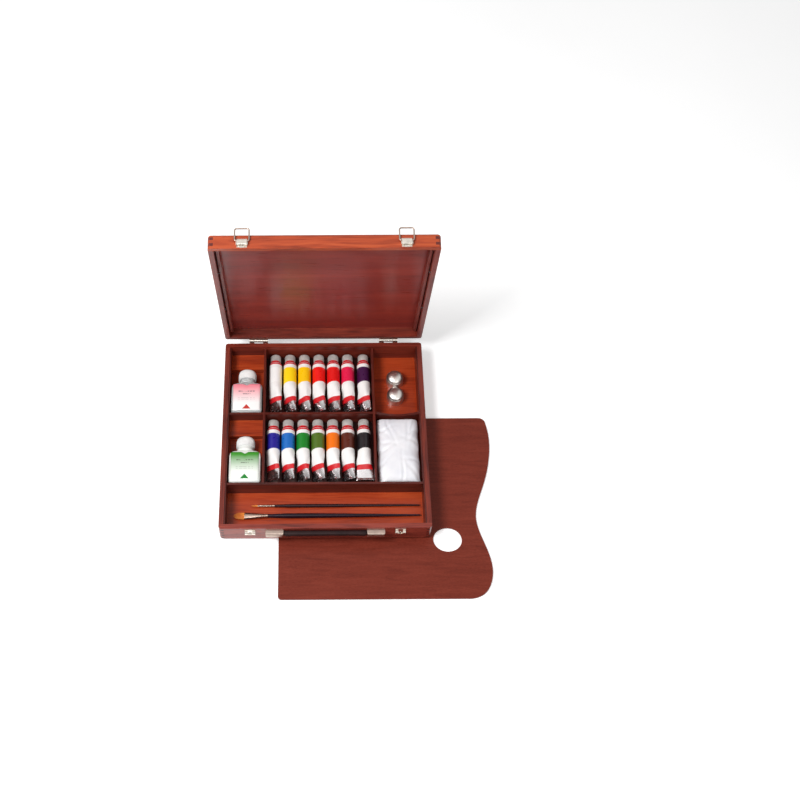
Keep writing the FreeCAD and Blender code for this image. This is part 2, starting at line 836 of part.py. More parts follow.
# Lid
panel_low = lid_top - panel_recess - panel_thickness
lid_boards, lid_panel = frame_rails(lid_rim, lid_height, lid_finger_count, lid_top, panel_low)
lid_hinge_screws = hinge_screw_places(1)
lid_holes = [screw_hole(p, inward) for p in lid_hinge_screws]
lid_boards["rear_rail"] = lid_boards["rear_rail"].cut(lid_holes)
for name, board in lid_boards.items():
    save_lid("lid_" + name, board)
save_lid("lid_panel", lid_panel)
batten_out = inner_x - batten_gap
batten_in = batten_out - batten_width
batten_y = inner_y - batten_end_gap
battens = [
    box(x0, x1, -batten_y, batten_y, panel_low - batten_height, panel_low)
    for x0, x1 in ((-batten_out, -batten_in), (batten_in, batten_out))
]
save_lid("lid_battens", Part.makeCompound(battens))
save_lid("hinge_lid_leaves", Part.makeCompound([hinge_leaf(x, 1).cut(lid_holes) for x in hinge_places]))
save_lid("lid_screws", Part.makeCompound([screw(p, inward) for p in lid_hinge_screws]))
save_lid("latch_plates", Part.makeCompound([latch_plate(x) for x in latch_places.values()]))
save_lid("latch_pins", Part.makeCompound([latch_pin(x) for x in latch_places.values()]))
for side, x in latch_places.items():
    save_lid("latch_lever_" + side, latch_lever(x))
    save_lid("latch_bail_" + side, latch_bail(x))

# Paint tubes, left to right
tube_names = {
    "rear": ["white", "yellow", "golden_yellow", "red", "scarlet", "crimson", "violet"],
    "front": ["dark_blue", "blue", "green", "olive", "orange", "brown", "black"],
}
for row, names in tube_names.items():
    first_x = tube_bay_low + row_margins[row] + tube_radius
    for i, colour in enumerate(names):
        x = first_x + i * tube_pitch
        if i == tubes_per_row - 1:
            x += last_tube_gap
        turn = 0.0 if colour == "black" else tube_tail_turn
        save("paint_tube_" + colour, paint_tube(x, row_ends[row], turn))

# Bottles, dipper, pack, brushes and palette
for colour, low_y in (
    ("clear", cross_high + bottle_end_gap),
    ("white", front_divider_high + bottle_end_gap),
):
    body, cap = bottle(low_y)
    save("bottle_" + colour, body)
    save("bottle_" + colour + "_cap", cap)
cups, lids = dipper_shapes()
save("dipper_cups", cups)
save("dipper_lids", lids)
save("wrapped_pack", wrapped_pack())
tray_middle = (front_divider_low - inner_y) / 2 + brush_offset
handle, head = round_brush(tray_middle + brush_spacing / 2)
save("brush_round_handle", handle)
save("brush_round_head", head)
handle, head = flat_brush(tray_middle - brush_spacing / 2)
save("brush_flat_handle", handle)
save("brush_flat_head", head)
save("palette", palette_board())
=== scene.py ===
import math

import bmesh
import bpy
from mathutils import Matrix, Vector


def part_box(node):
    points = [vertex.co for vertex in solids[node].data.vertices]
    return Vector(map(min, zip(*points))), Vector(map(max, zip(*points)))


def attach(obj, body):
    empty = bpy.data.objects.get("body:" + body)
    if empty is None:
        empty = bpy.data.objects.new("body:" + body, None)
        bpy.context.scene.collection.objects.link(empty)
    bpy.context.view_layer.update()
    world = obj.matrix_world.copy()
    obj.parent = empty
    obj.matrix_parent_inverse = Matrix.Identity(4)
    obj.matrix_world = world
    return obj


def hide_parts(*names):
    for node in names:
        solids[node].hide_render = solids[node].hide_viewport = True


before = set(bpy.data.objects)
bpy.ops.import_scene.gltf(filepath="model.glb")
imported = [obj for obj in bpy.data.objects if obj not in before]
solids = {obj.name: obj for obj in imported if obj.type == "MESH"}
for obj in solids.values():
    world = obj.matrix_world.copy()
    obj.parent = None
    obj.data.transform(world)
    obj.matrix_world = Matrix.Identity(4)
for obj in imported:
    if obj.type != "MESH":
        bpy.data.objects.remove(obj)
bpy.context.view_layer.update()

# %% [markdown]
# # An open art supply box
# The solids of the case, its lid, its latches and everything in it are already here, each in its
# place. This lesson gives them their looks: stained wood, bright nickel, printed tubes, glass and
# a soft white parcel.

MM = 0.001  # one millimetre in Blender's metres
SEAM = 1e-7  # points closer than this are one point
POLE = 1e-5  # a lathe form closes on a ring this small

# %% [markdown]
# ## Small helpers
# Colours are picked as screen values from 0 to 255, and shaders want linear light, so `paint`
# converts them. `mesh_piece` turns corner points and faces into a finished piece that rides on a
# body of the frame and may stand for one of its solids. Forms are listed in millimetres.


# %% Colours
def paint(red, green, blue):
    def linear(c):
        c = c / 255
        return c / 12.92 if c <= 0.04045 else ((c + 0.055) / 1.055) ** 2.4

    return (linear(red), linear(green), linear(blue), 1.0)


print("white is", paint(255, 255, 255))


# %% Objects and meshes
def plain_object(name, mesh):
    made = bpy.data.objects.new(name, mesh)
    bpy.context.scene.collection.objects.link(made)
    return made


def make_plain(piece):
    """Keeps what the modifiers give as the piece's own mesh."""
    ready = piece.evaluated_get(bpy.context.evaluated_depsgraph_get())
    mesh = bpy.data.meshes.new_from_object(ready)
    piece.modifiers.clear()
    piece.data = mesh


def outward(mesh):
    """Closes the seams and turns every face outwards."""
    form = bmesh.new()
    form.from_mesh(mesh)
    bmesh.ops.remove_doubles(form, verts=form.verts, dist=SEAM)
    bmesh.ops.recalc_face_normals(form, faces=form.faces)
    form.to_mesh(mesh)
    form.free()


def mesh_piece(name, form, material, body, stands_for=(), uvs=None, sharp=40):
    """A piece from corner points and faces; edges over the sharp angle stay hard."""
    verts, faces = form
    mesh = bpy.data.meshes.new(name)
    mesh.from_pydata([tuple(v) for v in verts], [], faces)
    if uvs:
        layer = mesh.uv_layers.new(name="print")
        for loop in mesh.loops:
            layer.data[loop.index].uv = uvs[loop.vertex_index]
    outward(mesh)
    mesh.polygons.foreach_set("use_smooth", [True] * len(mesh.polygons))
    mesh.set_sharp_from_angle(angle=math.radians(sharp))
    piece = plain_object(name, mesh)
    mesh.materials.append(material)
    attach(piece, body)
    if stands_for:
        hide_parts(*stands_for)
    return piece


def grid_faces(rows, columns):
    faces = []
    for i in range(rows - 1):
        for j in range(columns - 1):
            a = i * columns + j
            faces.append((a, a + 1, a + columns + 1, a + columns))
    return faces


def skin(rings):
    """Corner points and faces of a closed form through rings with the same number of points."""
    count = len(rings[0])
    verts = [p for ring in rings for p in ring]
    faces = []
    for i in range(len(rings) - 1):
        for j in range(count):
            k = (j + 1) % count
            faces.append((i * count + j, i * count + k, (i + 1) * count + k, (i + 1) * count + j))
    faces.append(tuple(range(count)))
    faces.append(tuple(range((len(rings) - 1) * count, len(rings) * count)))
    return verts, faces


def turned(profile, start, axis, around=48):
    """A lathe form: (distance, radius) pairs in millimetres along an axis from a start point."""
    axis = Vector(axis).normalized()
    first = axis.orthogonal().normalized()
    second = axis.cross(first)
    rings = []
    for distance, radius in profile:
        centre = Vector(start) + axis * (distance * MM)
        ring = []
        for j in range(around):
            a = 2 * math.pi * j / around
            out = first * math.cos(a) + second * math.sin(a)
            ring.append(centre + out * max(radius * MM, POLE))
        rings.append(ring)
    return skin(rings)


def merged(forms):
    verts, faces = [], []
    for more_verts, more_faces in forms:
        faces += [tuple(n + len(verts) for n in face) for face in more_faces]
        verts += more_verts
    return verts, faces


print("mesh helpers ready")


# %% Shader and geometry nodes
def node(tree, kind, inputs=None, **settings):
    made = tree.nodes.new(kind)
    for key, value in settings.items():
        setattr(made, key, value)
    for key, value in (inputs or {}).items():
        if hasattr(value, "is_output"):
            tree.links.new(value, made.inputs[key])
        else:
            made.inputs[key].default_value = value
    return made


def calc(tree, operation, a, b=None, c=None):
    given = {i: v for i, v in enumerate((a, b, c)) if v is not None}
    return node(tree, "ShaderNodeMath", given, operation=operation).outputs[0]


def blend_colour(tree, factor, a, b):
    return node(tree, "ShaderNodeMix", {0: factor, 6: a, 7: b}, data_type="RGBA").outputs[2]


def spread(tree, value, low, high, to_low, to_high):
    given = {0: value, 1: low, 2: high, 3: to_low, 4: to_high}
    return node(tree, "ShaderNodeMapRange", given).outputs[0]


def noise(tree, at, scale, detail, **more):
    given = {"Vector": at, "Scale": scale, "Detail": detail, **more}
    return node(tree, "ShaderNodeTexNoise", given).outputs[0]


def stretched(tree, at, factors):
    return node(tree, "ShaderNodeVectorMath", {0: at, 1: factors}, operation="MULTIPLY").outputs[0]


print("node helpers ready")

# %% [markdown]
# ## Shared surface effects
# Three effects come back on many finishes, so each is a shader node group, built once: the long
# fibres of stained wood, the fine hairlines of worn metal, and a soft mottling that keeps plastic,
# paper and leather from looking painted on.


# %% How a shader group starts and ends
def new_group(name, ins, outs, kind="ShaderNodeTree"):
    group = bpy.data.node_groups.new(name, kind)
    for label, socket_kind, value in ins:
        socket_type = "NodeSocket" + socket_kind
        socket = group.interface.new_socket(label, in_out="INPUT", socket_type=socket_type)
        if value is not None:
            socket.default_value = value
    for label, socket_kind in outs:
        group.interface.new_socket(label, in_out="OUTPUT", socket_type="NodeSocket" + socket_kind)
    return group, group.nodes.new("NodeGroupInput"), group.nodes.new("NodeGroupOutput")


def put_out(group, stop, **values):
    for label, value in values.items():
        group.links.new(value, stop.inputs[label])


print("group helpers ready")


# %% Wood fibres
def wood_fibre_group():
    """Grain along X: broad figure, fine pores and dark end grain outside a given half length."""
    g, i, o = new_group(
        "wood_fibre",
        [
            ("Vector", "Vector", None),
            ("Dark", "Color", (0.05, 0.01, 0.01, 1)),
            ("Middle", "Color", (0.15, 0.03, 0.02, 1)),
            ("Light", "Color", (0.3, 0.08, 0.04, 1)),
            ("Pores", "Float", 700.0),
            ("Pore Stretch", "Float", 0.035),
            ("Figure", "Float", 45.0),
            ("Half Length", "Float", 10.0),
        ],
        [("Color", "Color"), ("Roughness", "Float"), ("Height", "Float")],
    )
    narrow = node(g, "ShaderNodeCombineXYZ", {0: i.outputs["Pore Stretch"], 1: 1.0, 2: 1.0})
    fine_at = stretched(g, i.outputs["Vector"], narrow.outputs[0])
    broad_at = stretched(g, i.outputs["Vector"], (0.12, 1.0, 1.0))
    pores = noise(g, fine_at, i.outputs["Pores"], 4.0)
    figure = noise(g, broad_at, i.outputs["Figure"], 3.0, Distortion=0.9)
    mixed = calc(g, "MULTIPLY_ADD", pores, 0.45, calc(g, "MULTIPLY", figure, 0.55))
    low = spread(g, mixed, 0.3, 0.5, 0.0, 1.0)
    high = spread(g, mixed, 0.5, 0.7, 0.0, 1.0)
    colour = blend_colour(g, low, i.outputs["Dark"], i.outputs["Middle"])
    colour = blend_colour(g, high, colour, i.outputs["Light"])
    along = node(g, "ShaderNodeSeparateXYZ", {0: i.outputs["Vector"]}).outputs[0]
    end = calc(g, "GREATER_THAN", calc(g, "ABSOLUTE", along), i.outputs["Half Length"])
    colour = blend_colour(g, calc(g, "MULTIPLY", end, 0.65), colour, i.outputs["Dark"])
    rough = spread(g, pores, 0.3, 0.7, 0.27, 0.42)
    put_out(g, o, Color=colour, Roughness=rough, Height=pores)
    return g


wood_fibre = wood_fibre_group()
print("group:", wood_fibre.name)


# %% Metal hairlines
def hairline_group():
    """Fine scratches and cloudy wear for bare metal."""
    g, i, o = new_group(
        "metal_hairlines",
        [
            ("Vector", "Vector", None),
            ("Scale", "Float", 900.0),
            ("Smooth", "Float", 0.16),
            ("Worn", "Float", 0.34),
        ],
        [("Roughness", "Float"), ("Height", "Float"), ("Cloud", "Float")],
    )
    lines_at = stretched(g, i.outputs["Vector"], (0.05, 1.0, 1.0))
    lines = noise(g, lines_at, i.outputs["Scale"], 3.0)
    cloud = noise(g, i.outputs["Vector"], 130.0, 2.0)
    wear = calc(g, "ADD", calc(g, "MULTIPLY", lines, 0.5), calc(g, "MULTIPLY", cloud, 0.5))
    rough = spread(g, wear, 0.35, 0.65, i.outputs["Smooth"], i.outputs["Worn"])
    put_out(g, o, Roughness=rough, Height=lines, Cloud=cloud)
    return g


metal_hairlines = hairline_group()
print("group:", metal_hairlines.name)


# %% Soft mottle
def mottle_group():
    """Soft colour and gloss changes with a fine tooth."""
    g, i, o = new_group(
        "soft_mottle",
        [
            ("Vector", "Vector", None),
            ("Color", "Color", (0.8, 0.8, 0.8, 1)),
            ("Shade", "Color", (0.6, 0.6, 0.6, 1)),
            ("Cloud Scale", "Float", 60.0),
            ("Tooth Scale", "Float", 1200.0),
            ("Smooth", "Float", 0.3),
            ("Dull", "Float", 0.5),
        ],
        [("Color", "Color"), ("Roughness", "Float"), ("Height", "Float")],
    )
    cloud = noise(g, i.outputs["Vector"], i.outputs["Cloud Scale"], 3.0)
    tooth = noise(g, i.outputs["Vector"], i.outputs["Tooth Scale"], 2.0)
    amount = spread(g, cloud, 0.35, 0.7, 0.0, 1.0)
    colour = blend_colour(g, amount, i.outputs["Color"], i.outputs["Shade"])
    rough = spread(g, cloud, 0.3, 0.7, i.outputs["Smooth"], i.outputs["Dull"])
    put_out(g, o, Color=colour, Roughness=rough, Height=tooth)
    return g


soft_mottle = mottle_group()
print("group:", soft_mottle.name)


# %% Putting a group into a finish
def finish(name, **shader):
    """A new material with its Principled shader's constant sockets set by name."""
    material = bpy.data.materials.new(name)
    material.use_nodes = True
    tree = material.node_tree
    bsdf = tree.nodes["Principled BSDF"]
    for key, value in shader.items():
        bsdf.inputs[key.replace("_", " ")].default_value = value
    at = node(tree, "ShaderNodeTexCoord").outputs["Object"]
    return material, tree, bsdf, at


def use_group(tree, group, **inputs):
    named = {key.replace("_", " "): value for key, value in inputs.items()}
    return node(tree, "ShaderNodeGroup", named, node_tree=group)


def relief(tree, bsdf, height, strength, distance):
    given = {"Strength": strength, "Distance": distance, "Height": height}
    bump = node(tree, "ShaderNodeBump", given)
    tree.links.new(bump.outputs[0], bsdf.inputs["Normal"])


def join(tree, bsdf, placed, **sockets):
    for source, target in sockets.items():
        tree.links.new(placed.outputs[source], bsdf.inputs[target])


print("finish helpers ready")

# %% [markdown]
# ## Stained wood
# The boards are red-brown stained hardwood under varnish, and their fibres follow each board. One
# function makes the finish for a direction, so side boards, front boards and the raised lid each
# get grain along their own length. Where a board's end shows in a finger joint, it is darker. The
# dividers and liners are painted darker than the rails: painted shade on the walls inside the case.
# The case's front board and the lid's side boards are painted lighter and pinker: painted sheen.
# The palette has short, even grain and no varnish.

# %% A wood finish
hinge_at = Vector((0, 0.191, 0.0482))
lid_turn = math.radians(79)
END_X, END_Y = 0.1796, 0.1846  # past these half lengths a board shows its end grain


def stained_wood(
    name, tones, along_y=False, on_lid=False, half_length=10.0, figure=80.0, pores=0.035, **shader
):
    """Grain along X, or along Y; on the lid the pattern is turned with the lid's open angle."""
    varnish = {"Coat_Weight": 0.12, "Coat_Roughness": 0.2, "Specular_IOR_Level": 0.3}
    material, tree, bsdf, at = finish(name, **{**varnish, **shader})
    turn = Matrix.Rotation(lid_turn if on_lid else 0.0, 3, "X")
    shift = hinge_at - turn @ hinge_at
    spin = Matrix.Rotation(math.radians(-90) if along_y else 0.0, 3, "Z")
    angles = tuple((spin @ turn).to_euler("XYZ"))
    placing = {"Vector": at, "Location": tuple(spin @ shift), "Rotation": angles}
    move = node(tree, "ShaderNodeMapping", placing)
    wood = use_group(
        tree,
        wood_fibre,
        Vector=move.outputs[0],
        Dark=tones[0],
        Middle=tones[1],
        Light=tones[2],
        Figure=figure,
        Pore_Stretch=pores,
        Half_Length=half_length,
    )
    join(tree, bsdf, wood, Color="Base Color", Roughness="Roughness")
    relief(tree, bsdf, wood.outputs["Height"], 0.25, 0.0003)
    return material


print("the lid is open by", round(math.degrees(lid_turn)), "degrees")

# %% Wood finishes
rail_tones = (paint(58, 16, 12), paint(112, 40, 28), paint(142, 57, 38))
lid_tones = (paint(120, 42, 22), paint(172, 70, 37), paint(192, 88, 48))
# Lighter, pinker tones for the lid's side boards are painted sheen.
rim_sheen_tones = (paint(78, 26, 22), paint(126, 54, 46), paint(150, 70, 58))
floor_tones = (paint(106, 29, 11), paint(160, 55, 22), paint(182, 74, 33))
panel_tones = (paint(98, 24, 20), paint(134, 40, 33), paint(158, 56, 43))
palette_tones = (paint(100, 37, 26), paint(116, 46, 33), paint(128, 54, 40))
# Lighter, pinker tones for the case's front board are painted sheen.
front_sheen_tones = (paint(74, 24, 19), paint(136, 54, 42), paint(166, 74, 56))
# Darker tones for the dividers and liners are painted shade inside the case.
divider_shade_tones = (paint(42, 13, 10), paint(86, 30, 22), paint(114, 44, 31))
rail_x = stained_wood("rail_wood_across", rail_tones, half_length=END_X)
front_x = stained_wood("rail_wood_front", front_sheen_tones, half_length=END_X, Coat_Weight=0.2)
rail_y = stained_wood("rail_wood_deep", rail_tones, along_y=True, half_length=END_Y)
inner_x = stained_wood("divider_wood_across", divider_shade_tones)
inner_y = stained_wood("divider_wood_deep", divider_shade_tones, along_y=True)
lid_x = stained_wood("lid_wood_across", lid_tones, on_lid=True, half_length=END_X)
lid_rear = stained_wood("lid_wood_rear", rail_tones, on_lid=True, half_length=END_X)
lid_y = stained_wood("lid_wood_deep", rim_sheen_tones, along_y=True, on_lid=True, half_length=END_Y)
floor_wood = stained_wood("floor_wood", floor_tones, figure=30.0)
block_wood = stained_wood("block_wood", floor_tones, figure=45.0)
panel_wood = stained_wood(
    "lid_panel_wood", panel_tones, on_lid=True, figure=26.0, Coat_Weight=0.45, Coat_Roughness=0.26
)
palette_wood = stained_wood(
    "palette_wood", palette_tones, figure=150.0, pores=0.3, Coat_Weight=0.0, Specular_IOR_Level=0.15
)
print("wood finishes from", rail_x.name, "to", palette_wood.name)

# %% Wood for every board
wood_of = {
    rail_x: "base_rear_rail",
    front_x: "base_front_rail",
    rail_y: "base_left_rail base_right_rail",
    inner_x: "divider_front cross_divider_left cross_divider_middle cross_divider_right",
    inner_y: "divider_left divider_right liner_left liner_right",
    lid_x: "lid_front_rail",
    lid_rear: "lid_rear_rail",
    lid_y: "lid_left_rail lid_right_rail lid_battens",
    floor_wood: "base_bottom",
    block_wood: "bottle_blocks",
    panel_wood: "lid_panel",
    palette_wood: "palette",
}


def give(material, names):
    for name in names.split():
        data = solids[name].data
        data.materials.clear()
        data.materials.append(material)


def paint_shade_in_tube_bays(material):
    """Painted shade: the floor between the tubes, inside the long dividers, is painted dark where they
    shade it.
    """
    tree = material.node_tree
    bsdf = tree.nodes["Principled BSDF"]
    colour = bsdf.inputs["Base Color"].links[0].from_socket
    place = node(tree, "ShaderNodeTexCoord").outputs["Object"]
    parts = node(tree, "ShaderNodeSeparateXYZ", {0: place})
    left_wall, right_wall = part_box("divider_left"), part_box("divider_right")
    front_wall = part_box("divider_front")
    inside = calc(tree, "GREATER_THAN", parts.outputs[0], left_wall[1].x)
    for limit in (
        calc(tree, "LESS_THAN", parts.outputs[0], right_wall[0].x),
        calc(tree, "GREATER_THAN", parts.outputs[1], front_wall[1].y),
    ):
        inside = calc(tree, "MULTIPLY", inside, limit)
    # Painted shade: this dark colour stands for the shade the tubes cast on the floor below them.
    tree.links.new(blend_colour(tree, inside, colour, paint(52, 18, 12)), bsdf.inputs["Base Color"])


paint_shade_in_tube_bays(floor_wood)
for material, names in wood_of.items():
    give(material, names)
print("wood finishes:", len(wood_of))

# %% [markdown]
# ## Metal
# Hinges and latches are nickel plated and a little warm in colour. The handle's end caps and the
# brush ferrules have a darker, warmer nickel, and the wire bails get the caps' darker nickel as
# painted shade. The screws are duller. The dippers are spun metal with finer hairlines.


# %% Metal finishes
def bare_metal(name, colour, smooth, worn, scale=900.0):
    material, tree, bsdf, at = finish(name, Metallic=1.0)
    lines = use_group(tree, metal_hairlines, Vector=at, Scale=scale, Smooth=smooth, Worn=worn)
    shade = tuple(c * 0.8 for c in colour[:3]) + (1.0,)
    worn_spots = spread(tree, lines.outputs["Cloud"], 0.4, 0.75, 0.0, 1.0)
    tree.links.new(blend_colour(tree, worn_spots, colour, shade), bsdf.inputs["Base Color"])
    join(tree, bsdf, lines, Roughness="Roughness")
    relief(tree, bsdf, lines.outputs["Height"], 0.04, 0.00004)
    return material


nickel = bare_metal("bright_nickel", paint(232, 223, 211), 0.2, 0.32)
cap_nickel = bare_metal("worn_nickel", paint(184, 164, 152), 0.28, 0.42)
ferrule_nickel = bare_metal("ferrule_nickel", paint(186, 162, 148), 0.2, 0.3)
screw_steel = bare_metal("screw_steel", paint(196, 190, 182), 0.3, 0.5)
spun_metal = bare_metal("spun_metal", paint(226, 220, 214), 0.3, 0.44, 1500.0)
give(
    nickel,
    "hinge_base_leaves hinge_lid_leaves hinge_pins latch_catches latch_plates latch_pins "
    "latch_lever_left latch_lever_right",
)
# The wire bails' darker nickel is painted shade, so the thin wire shows dark as its shaded edges do.
give(cap_nickel, "handle_end_caps latch_bail_left latch_bail_right")
print("metal finishes: 5")

# %% [markdown]
# ## Plastic, leather, paper and glass
# Everything here uses the soft mottle group with its own colours and scales.


# %% Mottled finishes
def mottled(
    name, colour, shade, cloud=60.0, tooth=1200.0, smooth=0.3, dull=0.5, bump=0.1, deep=0.0002, **shader
):
    material, tree, bsdf, at = finish(name, **shader)
    soft = use_group(
        tree,
        soft_mottle,
        Vector=at,
        Color=colour,
        Shade=shade,
        Cloud_Scale=cloud,
        Tooth_Scale=tooth,
        Smooth=smooth,
        Dull=dull,
    )
    join(tree, bsdf, soft, Color="Base Color", Roughness="Roughness")
    relief(tree, bsdf, soft.outputs["Height"], bump, deep)
    return material


cap_grey = mottled("tube_cap_grey", paint(182, 176, 172), paint(152, 147, 144), smooth=0.35)
cap_white = mottled("bottle_cap_white", paint(244, 244, 242), paint(226, 226, 224), smooth=0.25, dull=0.4)
leather = {"cloud": 40.0, "tooth": 1500.0, "smooth": 0.5, "dull": 0.65, "bump": 0.35}
grip_black = mottled(
    "grip_black", paint(42, 22, 22), paint(26, 13, 14), **leather, Specular_IOR_Level=0.2
)
lacquer_gloss = {"smooth": 0.24, "dull": 0.34, "Specular_IOR_Level": 0.3}
dark_lacquer = mottled("brush_lacquer", paint(38, 20, 34), paint(22, 11, 22), **lacquer_gloss)
red_lacquer = mottled("brush_lacquer_red", paint(48, 18, 22), paint(28, 11, 16), **lacquer_gloss)
milk_plastic = mottled(
    "milk_white_bottle", paint(238, 240, 236), paint(222, 226, 220), smooth=0.2, dull=0.34
)
peg_dark = mottled("dark_peg", paint(50, 24, 22), paint(34, 16, 16))
paper_wrap = {"cloud": 30.0, "tooth": 900.0, "smooth": 0.36, "bump": 0.08, "deep": 0.0004}
wrap_white = mottled("white_wrap", paint(240, 240, 243), paint(228, 229, 235), **paper_wrap)
clear = {"smooth": 0.03, "dull": 0.1, "bump": 0.03, "IOR": 1.3}
bottle_glass = mottled(
    "bottle_glass", paint(240, 242, 242), paint(226, 228, 228), **clear, Transmission_Weight=0.55
)
bottle_oil = mottled(
    "painting_oil", paint(236, 230, 222), paint(222, 214, 204), **clear, Transmission_Weight=0.45
)

print("mottled finishes ready")

# %% Label paper
# Small print on a label: place along it, half height, half width, darkness
label_rules = (
    (0.72, 0.022, 0.3, 0.6),
    (0.62, 0.018, 0.14, 0.6),
    (0.47, 0.01, 0.34, 0.3),
    (0.41, 0.01, 0.32, 0.3),
)


def label_paper(name, strong, pale, mark):
    """Printed paper: the map's V runs from the foot to the neck, and the colour fades along it.

    Broken grey rules stand for small print, and a plain triangle stands at the foot.
    """
    material, tree, bsdf, at = finish(name, Specular_IOR_Level=0.3)
    map_at = node(tree, "ShaderNodeUVMap", uv_map="print").outputs[0]
    parts = node(tree, "ShaderNodeSeparateXYZ", {0: map_at})
    along = parts.outputs[1]
    aside = calc(tree, "ABSOLUTE", calc(tree, "SUBTRACT", parts.outputs[0], 0.5))
    soft = use_group(tree, soft_mottle, Vector=at, Color=pale, Shade=pale, Smooth=0.35, Dull=0.5)
    fade = spread(tree, along, 0.28, 0.92, 0.0, 1.0)
    colour = blend_colour(tree, fade, soft.outputs["Color"], strong)
    words = noise(tree, stretched(tree, map_at, (26.0, 3.0, 0.0)), 1.0, 0.0)
    broken = calc(tree, "GREATER_THAN", words, 0.44)
    for place, height, reach, dark in label_rules:
        off_line = calc(tree, "ABSOLUTE", calc(tree, "SUBTRACT", along, place))
        near = calc(tree, "LESS_THAN", off_line, height)
        within = calc(tree, "LESS_THAN", aside, reach)
        rule = calc(tree, "MULTIPLY", calc(tree, "MULTIPLY", near, within), broken)
        colour = blend_colour(tree, calc(tree, "MULTIPLY", rule, dark), colour, paint(70, 60, 60))
    slope = calc(tree, "SUBTRACT", 0.22, calc(tree, "MULTIPLY", aside, 1.1))
    over_foot = calc(tree, "GREATER_THAN", along, 0.05)
    triangle = calc(tree, "MULTIPLY", calc(tree, "LESS_THAN", along, slope), over_foot)
    colour = blend_colour(tree, triangle, colour, mark)
    tree.links.new(colour, bsdf.inputs["Base Color"])
    join(tree, bsdf, soft, Roughness="Roughness")
    relief(tree, bsdf, soft.outputs["Height"], 0.08, 0.0001)
    return material


pink_label = label_paper("pink_label", paint(240, 140, 152), paint(248, 246, 244), paint(196, 60, 52))
green_label = label_paper("green_label", paint(58, 143, 38), paint(246, 250, 243), paint(30, 128, 48))
print("labels:", pink_label.name, green_label.name)

# %% [markdown]
# ## Repeated forms with Geometry Nodes
# Ribs on caps, slotted screws and bristles repeat one small form many times. Each is a small node
# tree with named inputs. The tree realizes its instances, and `grow` then keeps the plain mesh.


# %% How a node tree starts and ends
def new_tree(name, ins):
    shape = ("Geometry", "Geometry")
    return new_group(name, [(*shape, None)] + ins, [shape], "GeometryNodeTree")


def end_tree(tree, start, stop, instances, keep_input):
    real = node(tree, "GeometryNodeRealizeInstances", {0: instances}).outputs[0]
    if keep_input:
        both = tree.nodes.new("GeometryNodeJoinGeometry")
        tree.links.new(real, both.inputs[0])
        tree.links.new(start.outputs["Geometry"], both.inputs[0])
        real = both.outputs[0]
    painted = node(tree, "GeometryNodeSetMaterial", {0: real, "Material": start.outputs["Material"]})
    tree.links.new(painted.outputs[0], stop.inputs[0])


def grow(piece, tree, **values):
    """Runs a node tree on a piece and keeps the result as a plain mesh."""
    sockets = {s.name: s.identifier for s in tree.interface.items_tree if s.in_out == "INPUT"}
    made = piece.modifiers.new(tree.name, "NODES")
    made.node_group = tree
    for key, value in values.items():
        made[sockets[key.replace("_", " ")]] = value
    made.node_group.interface_update(bpy.context)
    make_plain(piece)
    piece.data.name = piece.name


print("tree helpers ready")


# %% Ribs round a cap
def rib_tree():
    tree, i, o = new_tree(
        "cap_ribs",
        [
            ("Ribs", "Int", 30),
            ("Radius", "Float", 0.01),
            ("Length", "Float", 0.01),
            ("Thickness", "Float", 0.0005),
            ("Centre", "Vector", (0, 0, 0)),
            ("Material", "Material", None),
        ],
    )
    round_cap = {"Vertices": i.outputs["Ribs"], "Radius": i.outputs["Radius"]}
    circle = node(tree, "GeometryNodeMeshCircle", round_cap)
    stand = (math.radians(90), 0, 0)
    ring = node(
        tree,
        "GeometryNodeTransform",
        {"Geometry": circle.outputs[0], "Rotation": stand, "Translation": i.outputs["Centre"]},
    )
    rod = node(
        tree,
        "GeometryNodeMeshCylinder",
        {"Vertices": 6, "Radius": i.outputs["Thickness"], "Depth": i.outputs["Length"]},
    )
    laid = node(tree, "GeometryNodeTransform", {"Geometry": rod.outputs[0], "Rotation": stand})
    on_ring = {"Points": ring.outputs[0], "Instance": laid.outputs[0]}
    ribs = node(tree, "GeometryNodeInstanceOnPoints", on_ring)
    end_tree(tree, i, o, ribs.outputs[0], True)
    return tree


cap_ribs = rib_tree()


def rib_cap(cap, material, centre, count, radius, length, thickness):
    """Grip ribs round a cap, with their sizes in millimetres."""
    sizes = {"Radius": radius * MM, "Length": length * MM, "Thickness": thickness * MM}
    grow(cap, cap_ribs, Ribs=count, Centre=tuple(centre), Material=material, **sizes)


print("node tree:", cap_ribs.name)


# %% Screws on points
def screw_tree():
    tree, i, o = new_tree(
        "slotted_screws",
        [("Head", "Object", None), ("Turn", "Vector", (0, 0, 0)), ("Material", "Material", None)],
    )
    head = node(tree, "GeometryNodeObjectInfo", {"Object": i.outputs["Head"]})
    on_points = {
        "Points": i.outputs["Geometry"],
        "Instance": head.outputs["Geometry"],
        "Rotation": i.outputs["Turn"],
    }
    placed = node(tree, "GeometryNodeInstanceOnPoints", on_points)
    end_tree(tree, i, o, placed.outputs[0], False)
    return tree


slotted_screws = screw_tree()
print("node tree:", slotted_screws.name)


